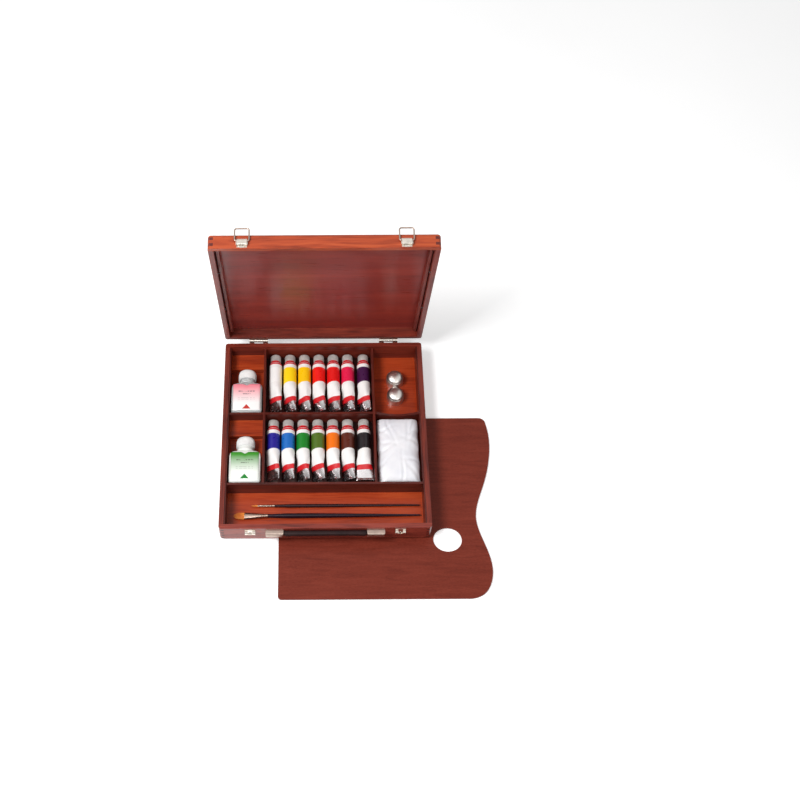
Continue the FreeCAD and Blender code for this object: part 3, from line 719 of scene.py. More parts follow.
# %% Bristles
def bristle_tree():
    tree, i, o = new_tree(
        "bristles",
        [
            ("Count", "Int", 300),
            ("Length", "Float", 0.02),
            ("Half Width", "Float", 0.006),
            ("Half Height", "Float", 0.002),
            ("Root", "Vector", (0, 0, 0)),
            ("Spread", "Float", 0.05),
            ("Seed", "Int", 7),
            ("Material", "Material", None),
        ],
    )

    def chance(low, high, offset):
        seed = calc(tree, "ADD", i.outputs["Seed"], float(offset))
        made = node(tree, "FunctionNodeRandomValue", {"Seed": seed}, data_type="FLOAT")
        made.inputs[2].default_value = low
        made.inputs[3].default_value = high
        return made.outputs[1]

    across = chance(-1.0, 1.0, 0)
    upright = chance(-1.0, 1.0, 1)
    square = calc(tree, "MULTIPLY", across, across)
    reach = calc(tree, "SQRT", calc(tree, "SUBTRACT", 1.05, square))
    side = calc(tree, "MULTIPLY", across, i.outputs["Half Width"])
    lift = calc(tree, "MULTIPLY", calc(tree, "MULTIPLY", upright, i.outputs["Half Height"]), reach)
    local = node(tree, "ShaderNodeCombineXYZ", {1: side, 2: lift}).outputs[0]
    from_root = {0: local, 1: i.outputs["Root"]}
    place = node(tree, "ShaderNodeVectorMath", from_root, operation="ADD").outputs[0]
    points = node(tree, "GeometryNodePoints", {"Count": i.outputs["Count"], "Position": place})
    hair = node(
        tree,
        "GeometryNodeMeshCone",
        {"Vertices": 5, "Radius Top": 0.00003, "Radius Bottom": 0.00013, "Depth": i.outputs["Length"]},
    )
    lean_y = calc(tree, "ADD", calc(tree, "MULTIPLY", upright, i.outputs["Spread"]), math.radians(-90))
    lean_z = calc(tree, "MULTIPLY", chance(-1.0, 1.0, 2), i.outputs["Spread"])
    turn = node(tree, "ShaderNodeCombineXYZ", {1: lean_y, 2: lean_z}).outputs[0]
    shorter = calc(tree, "SUBTRACT", 1.0, calc(tree, "MULTIPLY", square, 0.42))
    varied = calc(tree, "MULTIPLY", shorter, chance(0.92, 1.0, 3))
    scale = node(tree, "ShaderNodeCombineXYZ", {0: 1.0, 1: 1.0, 2: varied}).outputs[0]
    tuft = node(
        tree,
        "GeometryNodeInstanceOnPoints",
        {"Points": points.outputs[0], "Instance": hair.outputs[0], "Rotation": turn, "Scale": scale},
    )
    end_tree(tree, i, o, tuft.outputs[0], True)
    return tree


bristles = bristle_tree()
print("node tree:", bristles.name)

# %% [markdown]
# ## Slotted screws
# The hinge leaves and the strike plates are held by small round-head screws with a slot. One head
# is modelled, a node tree sets it on points, and the points sit where the solid screws are.


# %% One screw head
def screw_head():
    """A low dome with a slot cut across it."""
    profile = [(0.0, 2.3), (0.35, 2.25), (0.7, 1.85), (0.95, 1.1), (1.05, 0.0)]
    slot_size = (6.0 * MM, 0.6 * MM, 1.0 * MM)
    verts, faces = turned(profile, (0, 0, 0), (0, 0, 1), 24)
    dome = bpy.data.meshes.new("screw_head")
    dome.from_pydata([tuple(v) for v in verts], [], faces)
    slot = bpy.data.meshes.new("screw_slot")
    form = bmesh.new()
    bmesh.ops.create_cube(form, size=1.0)
    bmesh.ops.scale(form, vec=slot_size, verts=form.verts)
    bmesh.ops.translate(form, vec=(0, 0, 1.0 * MM), verts=form.verts)
    form.to_mesh(slot)
    form.free()
    outward(dome)
    outward(slot)
    head = plain_object("screw_head_pattern", dome)
    cutter = plain_object("screw_slot_pattern", slot)
    cut = head.modifiers.new("slot", "BOOLEAN")
    cut.operation = "DIFFERENCE"
    cut.object = cutter
    make_plain(head)
    bpy.data.objects.remove(cutter)
    return head


pattern = screw_head()
print("faces of a screw head:", len(pattern.data.polygons))


# %% Screws in their places
def set_screws(name, places, turn, body, stands_for, pattern):
    points = bpy.data.meshes.new(name)
    points.from_pydata([tuple(p) for p in places], [], [])
    piece = plain_object(name, points)
    grow(piece, slotted_screws, Head=pattern, Turn=turn, Material=screw_steel)
    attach(piece, body)
    if stands_for:
        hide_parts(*stands_for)


def lid_point(x, y, z):
    """A point of the closed lid, in metres, where it is on the open lid."""
    tilt = Matrix.Rotation(-lid_turn, 3, "X")
    return hinge_at + tilt @ (Vector((x, y, z)) - hinge_at)


HINGE_X, SCREW_X, CATCH_X = 0.1193, 0.010, 0.127  # hinges and catches lie either side of the middle
BACK_Y, CATCH_Y = 0.1865, -0.186  # faces that the screw heads sit on
CASE_SCREW_Z, LID_SCREW_Z, CATCH_SCREW_Z = 0.0322, 0.0642, 0.032
to_back = math.radians(-90)
hinge_x = [s * HINGE_X + t * SCREW_X for s in (-1, 1) for t in (-1, 1)]
case_places = [(x, BACK_Y, CASE_SCREW_Z) for x in hinge_x]
catch_places = [(s * CATCH_X, CATCH_Y, CATCH_SCREW_Z) for s in (-1, 1)]
lid_places = [lid_point(x, BACK_Y, LID_SCREW_Z) for x in hinge_x]
set_screws("case_hinge_screws", case_places, (to_back, 0, 0), "case", ["base_screws"], pattern)
set_screws("catch_screws", catch_places, (-to_back, 0.6, 0), "case", [], pattern)
set_screws("lid_hinge_screws", lid_places, (to_back - lid_turn, 0, 0), "lid", ["lid_screws"], pattern)
bpy.data.objects.remove(pattern)
print("screws set:", len(hinge_x) * 2 + 2)

# %% [markdown]
# ## Paint tubes
# A filled tube is round at the shoulder and flattens to a folded crimp. The print is laid out on a
# map of the tube's skin: U runs round it and V from the cap to the tail, so one node group can draw
# a red shoulder, a white band, the colour field with its waved edge, a slanted red stripe and the
# bare aluminium tail.


# %% The tube print
TUBE_LENGTH = 118.0  # millimetres from the cap's end, as are all places of the print
RED_END, BAND_AT, BAND_HALF = 22.0, 18.4, 0.5
FIELD_START, FIELD_END, FIELD_WAVE = 29.0, 61.5, 2.4
STRIPE_AT, STRIPE_HALF, STRIPE_SLANT = 94.0, 4.6, 0.4


def tube_print_group():
    g, i, o = new_group(
        "tube_print",
        [("Map", "Vector", None), ("Field", "Color", (1, 1, 1, 1)), ("Vector", "Vector", None)],
        [("Color", "Color"), ("Metallic", "Float"), ("Roughness", "Float"), ("Height", "Float")],
    )
    parts = node(g, "ShaderNodeSeparateXYZ", {0: i.outputs["Map"]})
    turn = calc(g, "MULTIPLY", parts.outputs[0], 2 * math.pi)
    down = calc(g, "MULTIPLY", parts.outputs[1], TUBE_LENGTH)
    wave = calc(g, "MULTIPLY", calc(g, "COSINE", calc(g, "SUBTRACT", turn, 1.0)), FIELD_WAVE)
    field_end = calc(g, "SUBTRACT", FIELD_END, wave)
    slant = calc(g, "MULTIPLY", calc(g, "COSINE", turn), STRIPE_SLANT)
    red_cap = calc(g, "LESS_THAN", down, RED_END)
    from_band = calc(g, "ABSOLUTE", calc(g, "SUBTRACT", down, BAND_AT))
    band = calc(g, "LESS_THAN", from_band, BAND_HALF)
    past_start = calc(g, "GREATER_THAN", down, FIELD_START)
    field = calc(g, "MULTIPLY", past_start, calc(g, "LESS_THAN", down, field_end))
    from_stripe = calc(g, "SUBTRACT", down, calc(g, "SUBTRACT", STRIPE_AT, slant))
    red_stripe = calc(g, "LESS_THAN", calc(g, "ABSOLUTE", from_stripe), STRIPE_HALF)
    bare = calc(g, "GREATER_THAN", from_stripe, STRIPE_HALF)
    white, red = paint(240, 238, 236), paint(206, 30, 38)
    colour = blend_colour(g, red_cap, white, red)
    colour = blend_colour(g, band, colour, paint(240, 190, 190))
    colour = blend_colour(g, field, colour, i.outputs["Field"])
    colour = blend_colour(g, red_stripe, colour, red)
    metal = noise(g, i.outputs["Vector"], 160.0, 3.0)
    silver = blend_colour(g, metal, paint(246, 242, 242), paint(206, 200, 202))
    colour = blend_colour(g, bare, colour, silver)
    dull = spread(g, metal, 0.3, 0.7, 0.26, 0.44)
    rough = calc(g, "SUBTRACT", dull, calc(g, "MULTIPLY", bare, 0.12))
    put_out(g, o, Color=colour, Metallic=bare, Roughness=rough, Height=metal)
    return g


tube_print = tube_print_group()


def tube_finish(name, field):
    material, tree, bsdf, at = finish("tube_print_" + name)
    map_at = node(tree, "ShaderNodeUVMap", uv_map="print").outputs[0]
    skin_print = use_group(tree, tube_print, Map=map_at, Field=field, Vector=at)
    join(tree, bsdf, skin_print, Color="Base Color", Metallic="Metallic", Roughness="Roughness")
    relief(tree, bsdf, skin_print.outputs["Height"], 0.13, 0.0006)
    return material


print("tube print:", tube_print.name)

# %% [markdown]
# The tube's form follows its solid: rings of points change from a circle to a thin oval that is
# turned about the axis, because these tubes lie with the tail half over. Small dents on the tail
# catch the light like squeezed metal.


# %% Rings of a tube
TUBE_RADIUS, ROUND_END = 11.8, 65.0  # the tube is round up to this place
TAIL_LENGTH, TAIL_FLARE, TAIL_THIN, TAIL_DENT = 48.5, 3.4, 0.55, 0.075
FOLD_ROWS = [
    (113.8, 15.2, 1.0, 0),
    (115.6, 15.2, 1.1, 0),
    (115.9, 15.1, 0.7, 0),
    (117.7, 15.1, 0.8, 0),
    (TUBE_LENGTH, 14.9, 0.3, 0),
]


def tube_stations():
    """Rows of place, half width, half height and dent, from the shoulder to the fold."""
    rows = [(12.0, 8.6), (13.4, 8.8), (18.0, 10.9), (20.2, 11.6)]
    rows += [(t, TUBE_RADIUS) for t in (22.5, 30, 40, 50, 60, ROUND_END)]
    stations = [(t, r, r, 0) for t, r in rows]
    for k in range(1, 17):
        f = k / 16
        wide = TUBE_RADIUS + TAIL_FLARE * f
        tall = TUBE_RADIUS * (1 - f) + TAIL_THIN * f
        stations.append((ROUND_END + TAIL_LENGTH * f, wide, tall, TAIL_DENT * math.sin(math.pi * f)))
    return stations + FOLD_ROWS


def tube_ring(x, y, z, wide, high, turn, dent, phase, count=56):
    ring = []
    c, s = math.cos(turn), math.sin(turn)
    for j in range(count + 1):
        a = 2 * math.pi * j / count - turn
        push = 1 + dent * math.sin(3 * a + phase) + 0.6 * dent * math.sin(5 * a - 2 * phase)
        u, v = wide * math.cos(a) * push, high * math.sin(a) * push
        ring.append(Vector((x + u * c - v * s, y, z + u * s + v * c)))
    return ring


print("rings of a tube:", len(tube_stations()))


# %% Tubes and their caps
TUBE_CAP_LENGTH = 13.0
TUBE_CAP = [(0.2, 0.0), (0.2, 9.2), (0.6, 9.5), (11.0, 9.3), (12.2, 8.9), (12.8, 8.0)]
TUBE_CAP += [(TUBE_CAP_LENGTH, 6.6), (12.6, 6.0), (12.6, 0.0)]
TAIL_TURN = 42  # degrees; the black tube's tail lies level
DENT_TWIST, DENT_STEP = 0.09, 1.7  # how dents turn along a tube, and from one tube to the next


def paint_tube(colour, field, turn_deg, phase):
    low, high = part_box("paint_tube_" + colour)
    x = (low.x + high.x) / 2
    z = low.z + TUBE_RADIUS * MM if turn_deg else (low.z + high.z) / 2
    cap_end = high.y
    turn = math.radians(turn_deg)
    rings, uvs = [], []
    for t, wide, tall, dent in tube_stations():
        twist = phase + DENT_TWIST * t
        ring = tube_ring(x, cap_end - t * MM, z, wide * MM, tall * MM, turn, dent, twist)
        rings.append(ring)
        uvs += [(j / (len(ring) - 1), t / TUBE_LENGTH) for j in range(len(ring))]
    count = len(rings[0])
    verts = [p for ring in rings for p in ring]
    faces = grid_faces(len(rings), count)
    faces.append(tuple(range(count - 1)))
    faces.append(tuple(range((len(rings) - 1) * count, len(rings) * count - 1)))
    body, stands_for = "tube_" + colour, ["paint_tube_" + colour]
    printed = tube_finish(colour, field)
    mesh_piece("tube_skin_" + colour, (verts, faces), printed, body, stands_for, uvs, 35)
    cap_start = Vector((x, cap_end - TUBE_CAP_LENGTH * MM, z))
    cap = mesh_piece("tube_cap_" + colour, turned(TUBE_CAP, cap_start, (0, 1, 0)), cap_grey, body)
    centre = cap_start + Vector((0, 6.0 * MM, 0))
    rib_cap(cap, cap_grey, centre, count=36, radius=9.25, length=9.6, thickness=0.42)


tube_fields = {
    "white": paint(246, 245, 243),
    "yellow": paint(255, 214, 20),
    "golden_yellow": paint(252, 198, 12),
    "red": paint(236, 28, 22),
    "scarlet": paint(224, 24, 22),
    "crimson": paint(224, 30, 76),
    "violet": paint(62, 18, 66),
    "dark_blue": paint(36, 32, 142),
    "blue": paint(28, 106, 188),
    "green": paint(18, 126, 34),
    "olive": paint(78, 108, 32),
    "orange": paint(242, 116, 16),
    "brown": paint(88, 34, 20),
    "black": paint(30, 26, 30),
}
for number, (colour, field) in enumerate(tube_fields.items()):
    paint_tube(colour, field, 0 if colour == "black" else TAIL_TURN, DENT_STEP * number)
print("paint tubes:", len(tube_fields))

# %% [markdown]
# ## Bottles
# Both bottles lie flat. One is clear glass with painting oil in it, and the other is milk-white
# plastic. The body is a superellipse swept along the bottle, which rounds its edges as blown glass
# does. A printed paper label that fades from colour to white lies on the upper side.


# %% Rings of a bottle
def soft_ring(x, y, z, wide, high, power, count=64):
    ring = []
    for j in range(count):
        a = 2 * math.pi * j / count
        c, s = math.cos(a), math.sin(a)
        u = math.copysign(abs(c) ** (2 / power), c) * wide
        v = math.copysign(abs(s) ** (2 / power), s) * high
        ring.append(Vector((x + u, y, z + v)))
    return ring


def bottle_rings(low, high, x, z, inset):
    """Rings from the foot to the neck; inset makes the hollow inside a wall."""
    wide, tall = 28.25 - inset, 16.0 - inset
    foot, top = low * 1000 + inset, high * 1000
    rows = [
        (foot, wide - 3.4, tall - 3.4, 5.0),
        (foot + 0.9, wide - 1.2, tall - 1.2, 5.5),
        (foot + 3.0, wide - 0.2, tall - 0.2, 6.5),
        (foot + 7.0, wide, tall, 7.0),
        (top - 12.0, wide, tall, 7.0),
        (top - 6.0, wide - 0.8, tall - 0.5, 6.0),
        (top - 2.5, wide - 4.2, tall - 1.6, 4.4),
        (top - 0.4, wide - 10.0, tall - 3.2, 3.0),
        (top + 0.6, 12.4 - inset, 11.6 - inset, 2.2),
        (top + 3.0, 11.4 - inset, 11.4 - inset, 2.0),
        (top + 18.0, 11.4 - inset, 11.4 - inset, 2.0),
    ]
    return [soft_ring(x, y * MM, z, w * MM, h * MM, p) for y, w, h, p in rows]


print("points round a bottle:", len(soft_ring(0, 0, 0, 1, 1, 2)))


# %% A bottle's label
LABEL_CELLS = 24
LABEL_HALF, LABEL_FLAT = 24.5 * MM, 0.72  # half width, and the share of it that lies flat
LABEL_FOOT, LABEL_HEAD, LABEL_LIFT = 3.5 * MM, 5.5 * MM, 0.12 * MM  # gaps to foot, shoulder and side


def bottle_label(name, body, label, x, foot, head, top):
    """Thin paper that bends down at both sides and is notched under the neck."""
    verts, uvs = [], []
    for i in range(LABEL_CELLS + 1):
        for j in range(LABEL_CELLS + 1):
            u, v = j / LABEL_CELLS, i / LABEL_CELLS
            side = 2 * u - 1
            bend = max(0.0, abs(side) - LABEL_FLAT) / (1 - LABEL_FLAT)
            notch = 3.2 * MM * math.exp(-((side / 0.16) ** 2)) * v**6
            along = foot + (head - foot) * v - notch
            verts.append((x + side * LABEL_HALF, along, top - 0.9 * MM * bend**2))
            uvs.append((u, v))
    faces = grid_faces(LABEL_CELLS + 1, LABEL_CELLS + 1)
    paper = mesh_piece("bottle_label_" + name, (verts, faces), label, body, uvs=uvs, sharp=60)
    thick = paper.modifiers.new("paper", "SOLIDIFY")
    thick.thickness = 0.1 * MM
    thick.offset = -1.0


print("cells of a label:", LABEL_CELLS**2)


# %% Whole bottles
CAP_GAP = 0.3 * MM
GLASS_WALL, OIL_GAP = 2.2, 0.15
OIL_RINGS = 9  # the oil stops below the neck
SKIRT = 9.0  # the cap starts here on the collar
COLLAR = [(0.0, 0.0), (0.0, 14.4), (1.0, 15.2), (3.0, 15.2), (4.0, 14.6)]
COLLAR += [(SKIRT - 0.3, 14.6), (SKIRT - 0.3, 0.0)]
BOTTLE_CAP = [(SKIRT, 0.0), (SKIRT, 15.4), (SKIRT + 0.6, 16.1), (22.0, 15.9), (25.0, 15.1)]
BOTTLE_CAP += [(26.6, 13.3), (27.0, 11.0), (27.0, 0.0)]


def bottle(name, body, material, label, oil):
    low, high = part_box("bottle_" + name)
    cap_low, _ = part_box("bottle_" + name + "_cap")
    x, z = (low.x + high.x) / 2, (low.z + high.z) / 2
    shoulder = cap_low.y - CAP_GAP
    rings = bottle_rings(low.y, shoulder, x, z, 0.0)
    if oil:
        inner = bottle_rings(low.y, shoulder, x, z, GLASS_WALL)
        glass = skin(rings + list(reversed(inner)))
        mesh_piece("bottle_glass_body", glass, material, body, ["bottle_clear"], sharp=60)
        inside = skin(bottle_rings(low.y, shoulder, x, z, GLASS_WALL + OIL_GAP)[:OIL_RINGS])
        fill = mesh_piece("bottle_oil", inside, bottle_oil, body, sharp=60)
    else:
        mesh_piece("bottle_milk_body", skin(rings), material, body, ["bottle_white"], sharp=60)
    foot, head = low.y + LABEL_FOOT, shoulder - LABEL_HEAD
    bottle_label(name, body, label, x, foot, head, high.z + LABEL_LIFT)
    start = Vector((x, cap_low.y, z))
    ring = mesh_piece("bottle_collar_" + name, turned(COLLAR, start, (0, 1, 0), 64), material, body)
    form, stands_for = turned(BOTTLE_CAP, start, (0, 1, 0), 64), ["bottle_" + name + "_cap"]
    cap = mesh_piece("bottle_cap_" + name, form, cap_white, body, stands_for)
    centre = start + Vector((0, 15.6 * MM, 0))
    rib_cap(cap, cap_white, centre, count=60, radius=15.8, length=11.0, thickness=0.5)


bottle("clear", "clear_bottle", bottle_glass, pink_label, True)
bottle("white", "white_bottle", milk_plastic, green_label, False)
print("bottles: 2")

# %% [markdown]
# ## Brushes
# A slim round brush and a filbert lie in the tray. Each has a lacquered handle with a belly, a
# plated ferrule with pressed rings, and a tuft of tan bristle that a node tree grows over a core.


# %% Hair and handles
def bristle_finish():
    """Tan hair with darker streaks along it."""
    material, tree, bsdf, at = finish("tan_bristle", Specular_IOR_Level=0.35)
    streak = noise(tree, stretched(tree, at, (0.06, 1.0, 1.0)), 1400.0, 2.0)
    dark = spread(tree, streak, 0.35, 0.65, 0, 1)
    tint = blend_colour(tree, dark, paint(236, 148, 62), paint(188, 92, 34))
    tree.links.new(tint, bsdf.inputs["Base Color"])
    tree.links.new(spread(tree, streak, 0.3, 0.7, 0.4, 0.6), bsdf.inputs["Roughness"])
    return material


bristle = bristle_finish()
BELLY_START, BELLY_END, TAPER_STOP, THIN_END = 36, 66, 3, 1.3


def brush_handle(name, body, neck, belly, lacquer):
    """Swells from the neck to the belly and tapers to a thin, rounded end."""
    low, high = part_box("brush_" + name + "_handle")
    y, z = (low.y + high.y) / 2, (low.z + high.z) / 2
    length = (high.x - low.x) / MM
    profile = [(0.0, 0.0), (0.0, neck)]
    for k in range(1, 9):
        f = k / 8
        rise = 0.5 - 0.5 * math.cos(math.pi * f)
        profile.append((BELLY_START * f, neck + (belly - neck) * rise))
    profile.append((BELLY_END, belly))
    for k in range(1, 13):
        f = k / 12
        place = BELLY_END + (length - TAPER_STOP - BELLY_END) * f
        profile.append((place, belly + (THIN_END - belly) * f**1.15))
    profile += [(length - 1.4, 1.2), (length - 0.4, 0.8), (length, 0.0)]
    form = turned(profile, (low.x, y, z), (1, 0, 0), 40)
    stands_for = ["brush_" + name + "_handle"]
    mesh_piece("handle_of_" + name + "_brush", form, lacquer, body, stands_for, sharp=50)
    return low.x, y, z


print("hair finish:", bristle.name)


# %% Ferrules and tufts
def oval_ring(x, y, z, wide, high, count=40):
    turns = [2 * math.pi * j / count for j in range(count)]
    return [Vector((x, y + wide * math.cos(a), z + high * math.sin(a))) for a in turns]


def ferrule(name, body, mouth, y, z, rows):
    """Rows of (distance from the mouth, half width, half height) in millimetres."""
    form = skin([oval_ring(mouth + d * MM, y, z, w * MM, h * MM) for d, w, h in rows])
    stands_for = ["brush_" + name + "_head"]
    piece = mesh_piece("ferrule_of_" + name + "_brush", form, ferrule_nickel, body, stands_for, sharp=30)


def pressed(rows, places, deep):
    """Adds pressed rings to a list of ferrule rows."""

    def at(d):
        for (d0, w0, h0), (d1, w1, h1) in zip(rows, rows[1:]):
            if d0 <= d <= d1:
                f = (d - d0) / max(d1 - d0, 1e-6)
                return w0 + (w1 - w0) * f, h0 + (h1 - h0) * f
        return rows[-1][1:]

    extra = []
    for place in places:
        for step, dip in ((-0.8, 0.0), (-0.4, deep), (0.4, deep), (0.8, 0.0)):
            w, h = at(place + step)
            extra.append((place + step, w - dip, h - dip))
    return sorted(rows + extra)


def tuft(name, body, rows, root, count, length, half_width, half_height):
    """A core through the rows, measured from the root, with hair over it, in millimetres."""
    rings = [oval_ring(root.x - d * MM, root.y, root.z, w * MM, h * MM, 28) for d, w, h in rows]
    piece = mesh_piece("bristle_of_" + name + "_brush", skin(rings), bristle, body, sharp=60)
    grow(
        piece,
        bristles,
        Root=tuple(root),
        Material=bristle,
        Count=count,
        Length=length * MM,
        Half_Width=half_width * MM,
        Half_Height=half_height * MM,
        Spread=0.03,
    )


print("ferrule and tuft helpers ready")


# %% Both brushes
TUFT_DEPTH = 1.0 * MM  # how far the hair starts inside the ferrule's mouth


def brush_head(name, body, neck, rows, ring_places, ring_depth, hair_rows, **hair):
    """A ferrule whose rows run from its mouth to the handle's neck, and the tuft in it."""
    neck_x, y, z = neck
    mouth = neck_x - rows[-1][0] * MM
    ferrule(name, body, mouth, y, z, pressed(rows, ring_places, ring_depth))
    tuft(name, body, hair_rows, Vector((mouth + TUFT_DEPTH, y, z)), **hair)


neck = brush_handle("round", "round_brush", neck=2.4, belly=3.1, lacquer=red_lacquer)
rows = [(0.0, 1.75, 1.75), (29.2, 2.5, 2.5)]
hair_rows = [(-1.0, 1.5, 1.5), (4.0, 1.55, 1.55), (8.0, 1.1, 1.1), (11.4, 0.5, 0.5), (13.0, 0.1, 0.1)]
hair = {"count": 160, "length": 9.6, "half_width": 1.5, "half_height": 1.5}
brush_head("round", "round_brush", neck, rows, (21.0, 24.0), 0.28, hair_rows, **hair)

neck = brush_handle("flat", "flat_brush", neck=3.2, belly=4.2, lacquer=dark_lacquer)
rows = [(0.0, 6.2, 2.3), (14.0, 5.3, 2.7), (28.0, 3.9, 3.1), (40.6, 3.3, 3.3)]
hair_rows = [(-1.0, 5.9, 2.0), (6.0, 6.3, 1.9), (12.0, 5.7, 1.4), (16.0, 4.2, 0.8), (18.6, 2.2, 0.3)]
hair = {"count": 520, "length": 19.8, "half_width": 6.0, "half_height": 1.9}
brush_head("flat", "flat_brush", neck, rows, (30.0, 33.5), 0.32, hair_rows, **hair)
print("brushes: 2")

# %% [markdown]
# ## Double dipper
# Two small cups joined by a clip, each with a domed lid of spun metal. A lathe form with a rolled
# rim catches a bright ring of light that a plain dome would not.


# %% Dipper lids
low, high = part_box("dipper_lids")
give(spun_metal, "dipper_cups")
RIM_TOP, DOME_RADIUS, DOME_HEIGHT = 3.3, 14.5, 7.6
dome = [(0.0, 0.0), (0.0, 15.0), (0.5, 15.4), (2.2, 15.4), (2.9, 15.0), (RIM_TOP, DOME_RADIUS)]
for k in range(1, 13):
    a = math.radians(90 * k / 12)
    dome.append((RIM_TOP + DOME_HEIGHT * math.sin(a), DOME_RADIUS * math.cos(a)))
radius = (high.x - low.x) / 2
places = [((low.x + high.x) / 2, y, low.z) for y in (low.y + radius, high.y - radius)]
domes = merged([turned(dome, place, (0, 0, 1), 56) for place in places])
mesh_piece("dipper_domes", domes, spun_metal, "dipper", ["dipper_lids"])
print("dipper lids:", len(places))

# %% [markdown]
# ## Wrapped pack
# The white parcel is soft: its top is crowned and its sides pull in between the corners. We start
# from a slightly smaller form, let cloth with inner pressure swell it, and then press in creases
# that run from the folded ends.


# %% The parcel before it swells
def parcel_start():
    low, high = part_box("wrapped_pack")
    cx, cy = (low.x + high.x) / 2, (low.y + high.y) / 2
    wide, deep, tall = (high.x - low.x) / 2, (high.y - low.y) / 2, high.z - low.z
    mesh = bpy.data.meshes.new("soft_parcel")
    form = bmesh.new()
    bmesh.ops.create_cube(form, size=2.0)
    bmesh.ops.subdivide_edges(form, edges=form.edges, cuts=15, use_grid_fill=True)
    for v in form.verts:
        x, y, z = v.co
        pull = 1 - 0.05 * (1 - y * y) * abs(x) ** 3
        crown = (1 - 0.3 * abs(x) ** 6) * (1 - 0.16 * abs(y) ** 8)
        up = (z + 1) / 2
        v.co = (
            cx + x * (wide - 2.0 * MM) * pull,
            cy + y * (deep - 1.8 * MM) * (1 - 0.02 * (1 - x * x)),
            low.z + 1.2 * MM + up * (tall - 3.5 * MM) * crown,
        )
    form.to_mesh(mesh)
    form.free()
    return plain_object("soft_parcel", mesh), low, high


parcel, low, high = parcel_start()
print("parcel corners:", len(parcel.data.vertices))


# %% Swelling
def swell(piece, cap):
    """Cloth with inner pressure and no gravity; no point moves further than the cap."""
    start = [v.co.copy() for v in piece.data.vertices]
    cloth = piece.modifiers.new("swell", "CLOTH")
    cloth.settings.use_pressure = True
    cloth.settings.uniform_pressure_force = 4.0
    cloth.settings.effector_weights.gravity = 0.0
    cloth.settings.quality = 5
    scene = bpy.context.scene
    for step in range(1, 21):
        scene.frame_set(step)
    make_plain(piece)
    scene.frame_set(1)
    for v, old in zip(piece.data.vertices, start):
        moved = v.co - old
        if moved.length > cap:
            v.co = old + moved.normalized() * cap


swell(parcel, 5 * MM)
rounding = parcel.modifiers.new("rounding", "SUBSURF")
rounding.levels = rounding.render_levels = 2
make_plain(parcel)
print("parcel faces:", len(parcel.data.polygons))

# %% Creases
# Each starts at a place across and along the pack, from -1 to 1, and has a heading and a width
CREASES = [
    (-0.95, -0.95, 0.75, 0.08),
    (0.9, -0.98, 2.3, 0.07),
    (-0.98, 0.3, -0.25, 0.05),
    (0.98, 0.1, 2.75, 0.06),
    (-0.5, 0.98, -1.2, 0.06),
    (0.6, 0.98, -1.9, 0.07),
    (0.1, -0.98, 1.45, 0.06),
    (-0.95, 0.8, -0.7, 0.07),
    (-0.98, -0.05, 0.15, 0.045),
    (-0.98, -0.5, 0.4, 0.05),
    (0.98, 0.55, 3.3, 0.045),
    (0.98, -0.45, 2.9, 0.05),
    (-0.98, 0.6, 0.1, 0.04),
    (0.95, 0.9, 3.9, 0.07),
]


def fold(distance, width):
    """Depth of one crease at a distance across it: a narrow valley between two soft ridges."""
    t = distance / width
    return -math.exp(-t * t) + 0.55 * math.exp(-((abs(t) - 1.9) ** 2))


def crease(piece, low, high):
    """Wrapping creases from the ends and corners, and loose waves along the sides."""
    centre = (low + high) / 2
    half = (high - low) / 2
    for v in piece.data.vertices:
        n = v.normal.copy()
        x, y = (v.co.x - centre.x) / half.x, (v.co.y - centre.y) / half.y
        depth = 0.0
        for start_x, start_y, heading, width in CREASES:
            c, s = math.cos(heading), math.sin(heading)
            along = (x - start_x) * c + (y - start_y) * s
            across = (y - start_y) * c - (x - start_x) * s
            fade = math.exp(-((max(0.0, along) / 0.75) ** 2)) if along > -0.3 else 0.0
            depth += fold(across + 0.06 * math.sin(5 * along + 9 * width), width) * fade
        inside = 1 - min(1.0, abs(y)) ** 10
        waves = math.sin(7.3 * y + 2.0 * math.sin(2.1 * y)) * max(0.0, abs(x) - 0.55) * inside
        v.co += n * MM * (0.9 * depth * max(0.0, n.z) * inside + 1.6 * waves)
    for v in piece.data.vertices:
        v.co.z = min(max(v.co.z, low.z), high.z)
        v.co.x = min(max(v.co.x, low.x), high.x)
        v.co.y = min(max(v.co.y, low.y), high.y)


crease(parcel, low, high)
parcel.data.polygons.foreach_set("use_smooth", [True] * len(parcel.data.polygons))
parcel.data.materials.clear()
parcel.data.materials.append(wrap_white)
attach(parcel, "pack")
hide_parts("wrapped_pack")
print("creases:", len(CREASES))

# %% [markdown]
# ## Strap handle
# The grip is a black moulded strap with soft edges. Its ends step down to the flat tongues that run
# into the nickel caps.

# %% The grip
# From the middle to an end: place, depth, height and how square the section is
GRIP_ROWS = [
    (0.0, 8.0, 9.0, 3.4),
    (40.0, 8.2, 9.2, 3.4),
    (66.0, 8.5, 9.5, 3.4),
    (69.3, 7.6, 9.0, 3.6),
    (70.0, 5.6, 7.6, 4.0),
    (71.0, 4.0, 6.3, 6.0),
    (88.0, 4.0, 6.3, 6.0),
    (88.2, 4.0, 8.4, 6.0),
    (92.0, 4.0, 8.4, 6.0),
]
low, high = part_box("handle_strap")
z = (low.z + high.z) / 2
rings = []
for place, depth, tall, power in [(-row[0], *row[1:]) for row in GRIP_ROWS[:0:-1]] + GRIP_ROWS:
    ring = soft_ring(0, 0, 0, depth / 2 * MM, tall / 2 * MM, power, 40)
    rings.append([Vector((place * MM, high.y - depth / 2 * MM + p.x, z + p.z)) for p in ring])
mesh_piece("handle_grip", skin(rings), grip_black, "handle", ["handle_strap"], sharp=50)
print("grip rings:", len(rings))

# %% [markdown]
# ## Lid pegs
# Four short dark pegs stand in the lid's side boards, two on each side. They keep a palette or a
# painting panel in the lid.

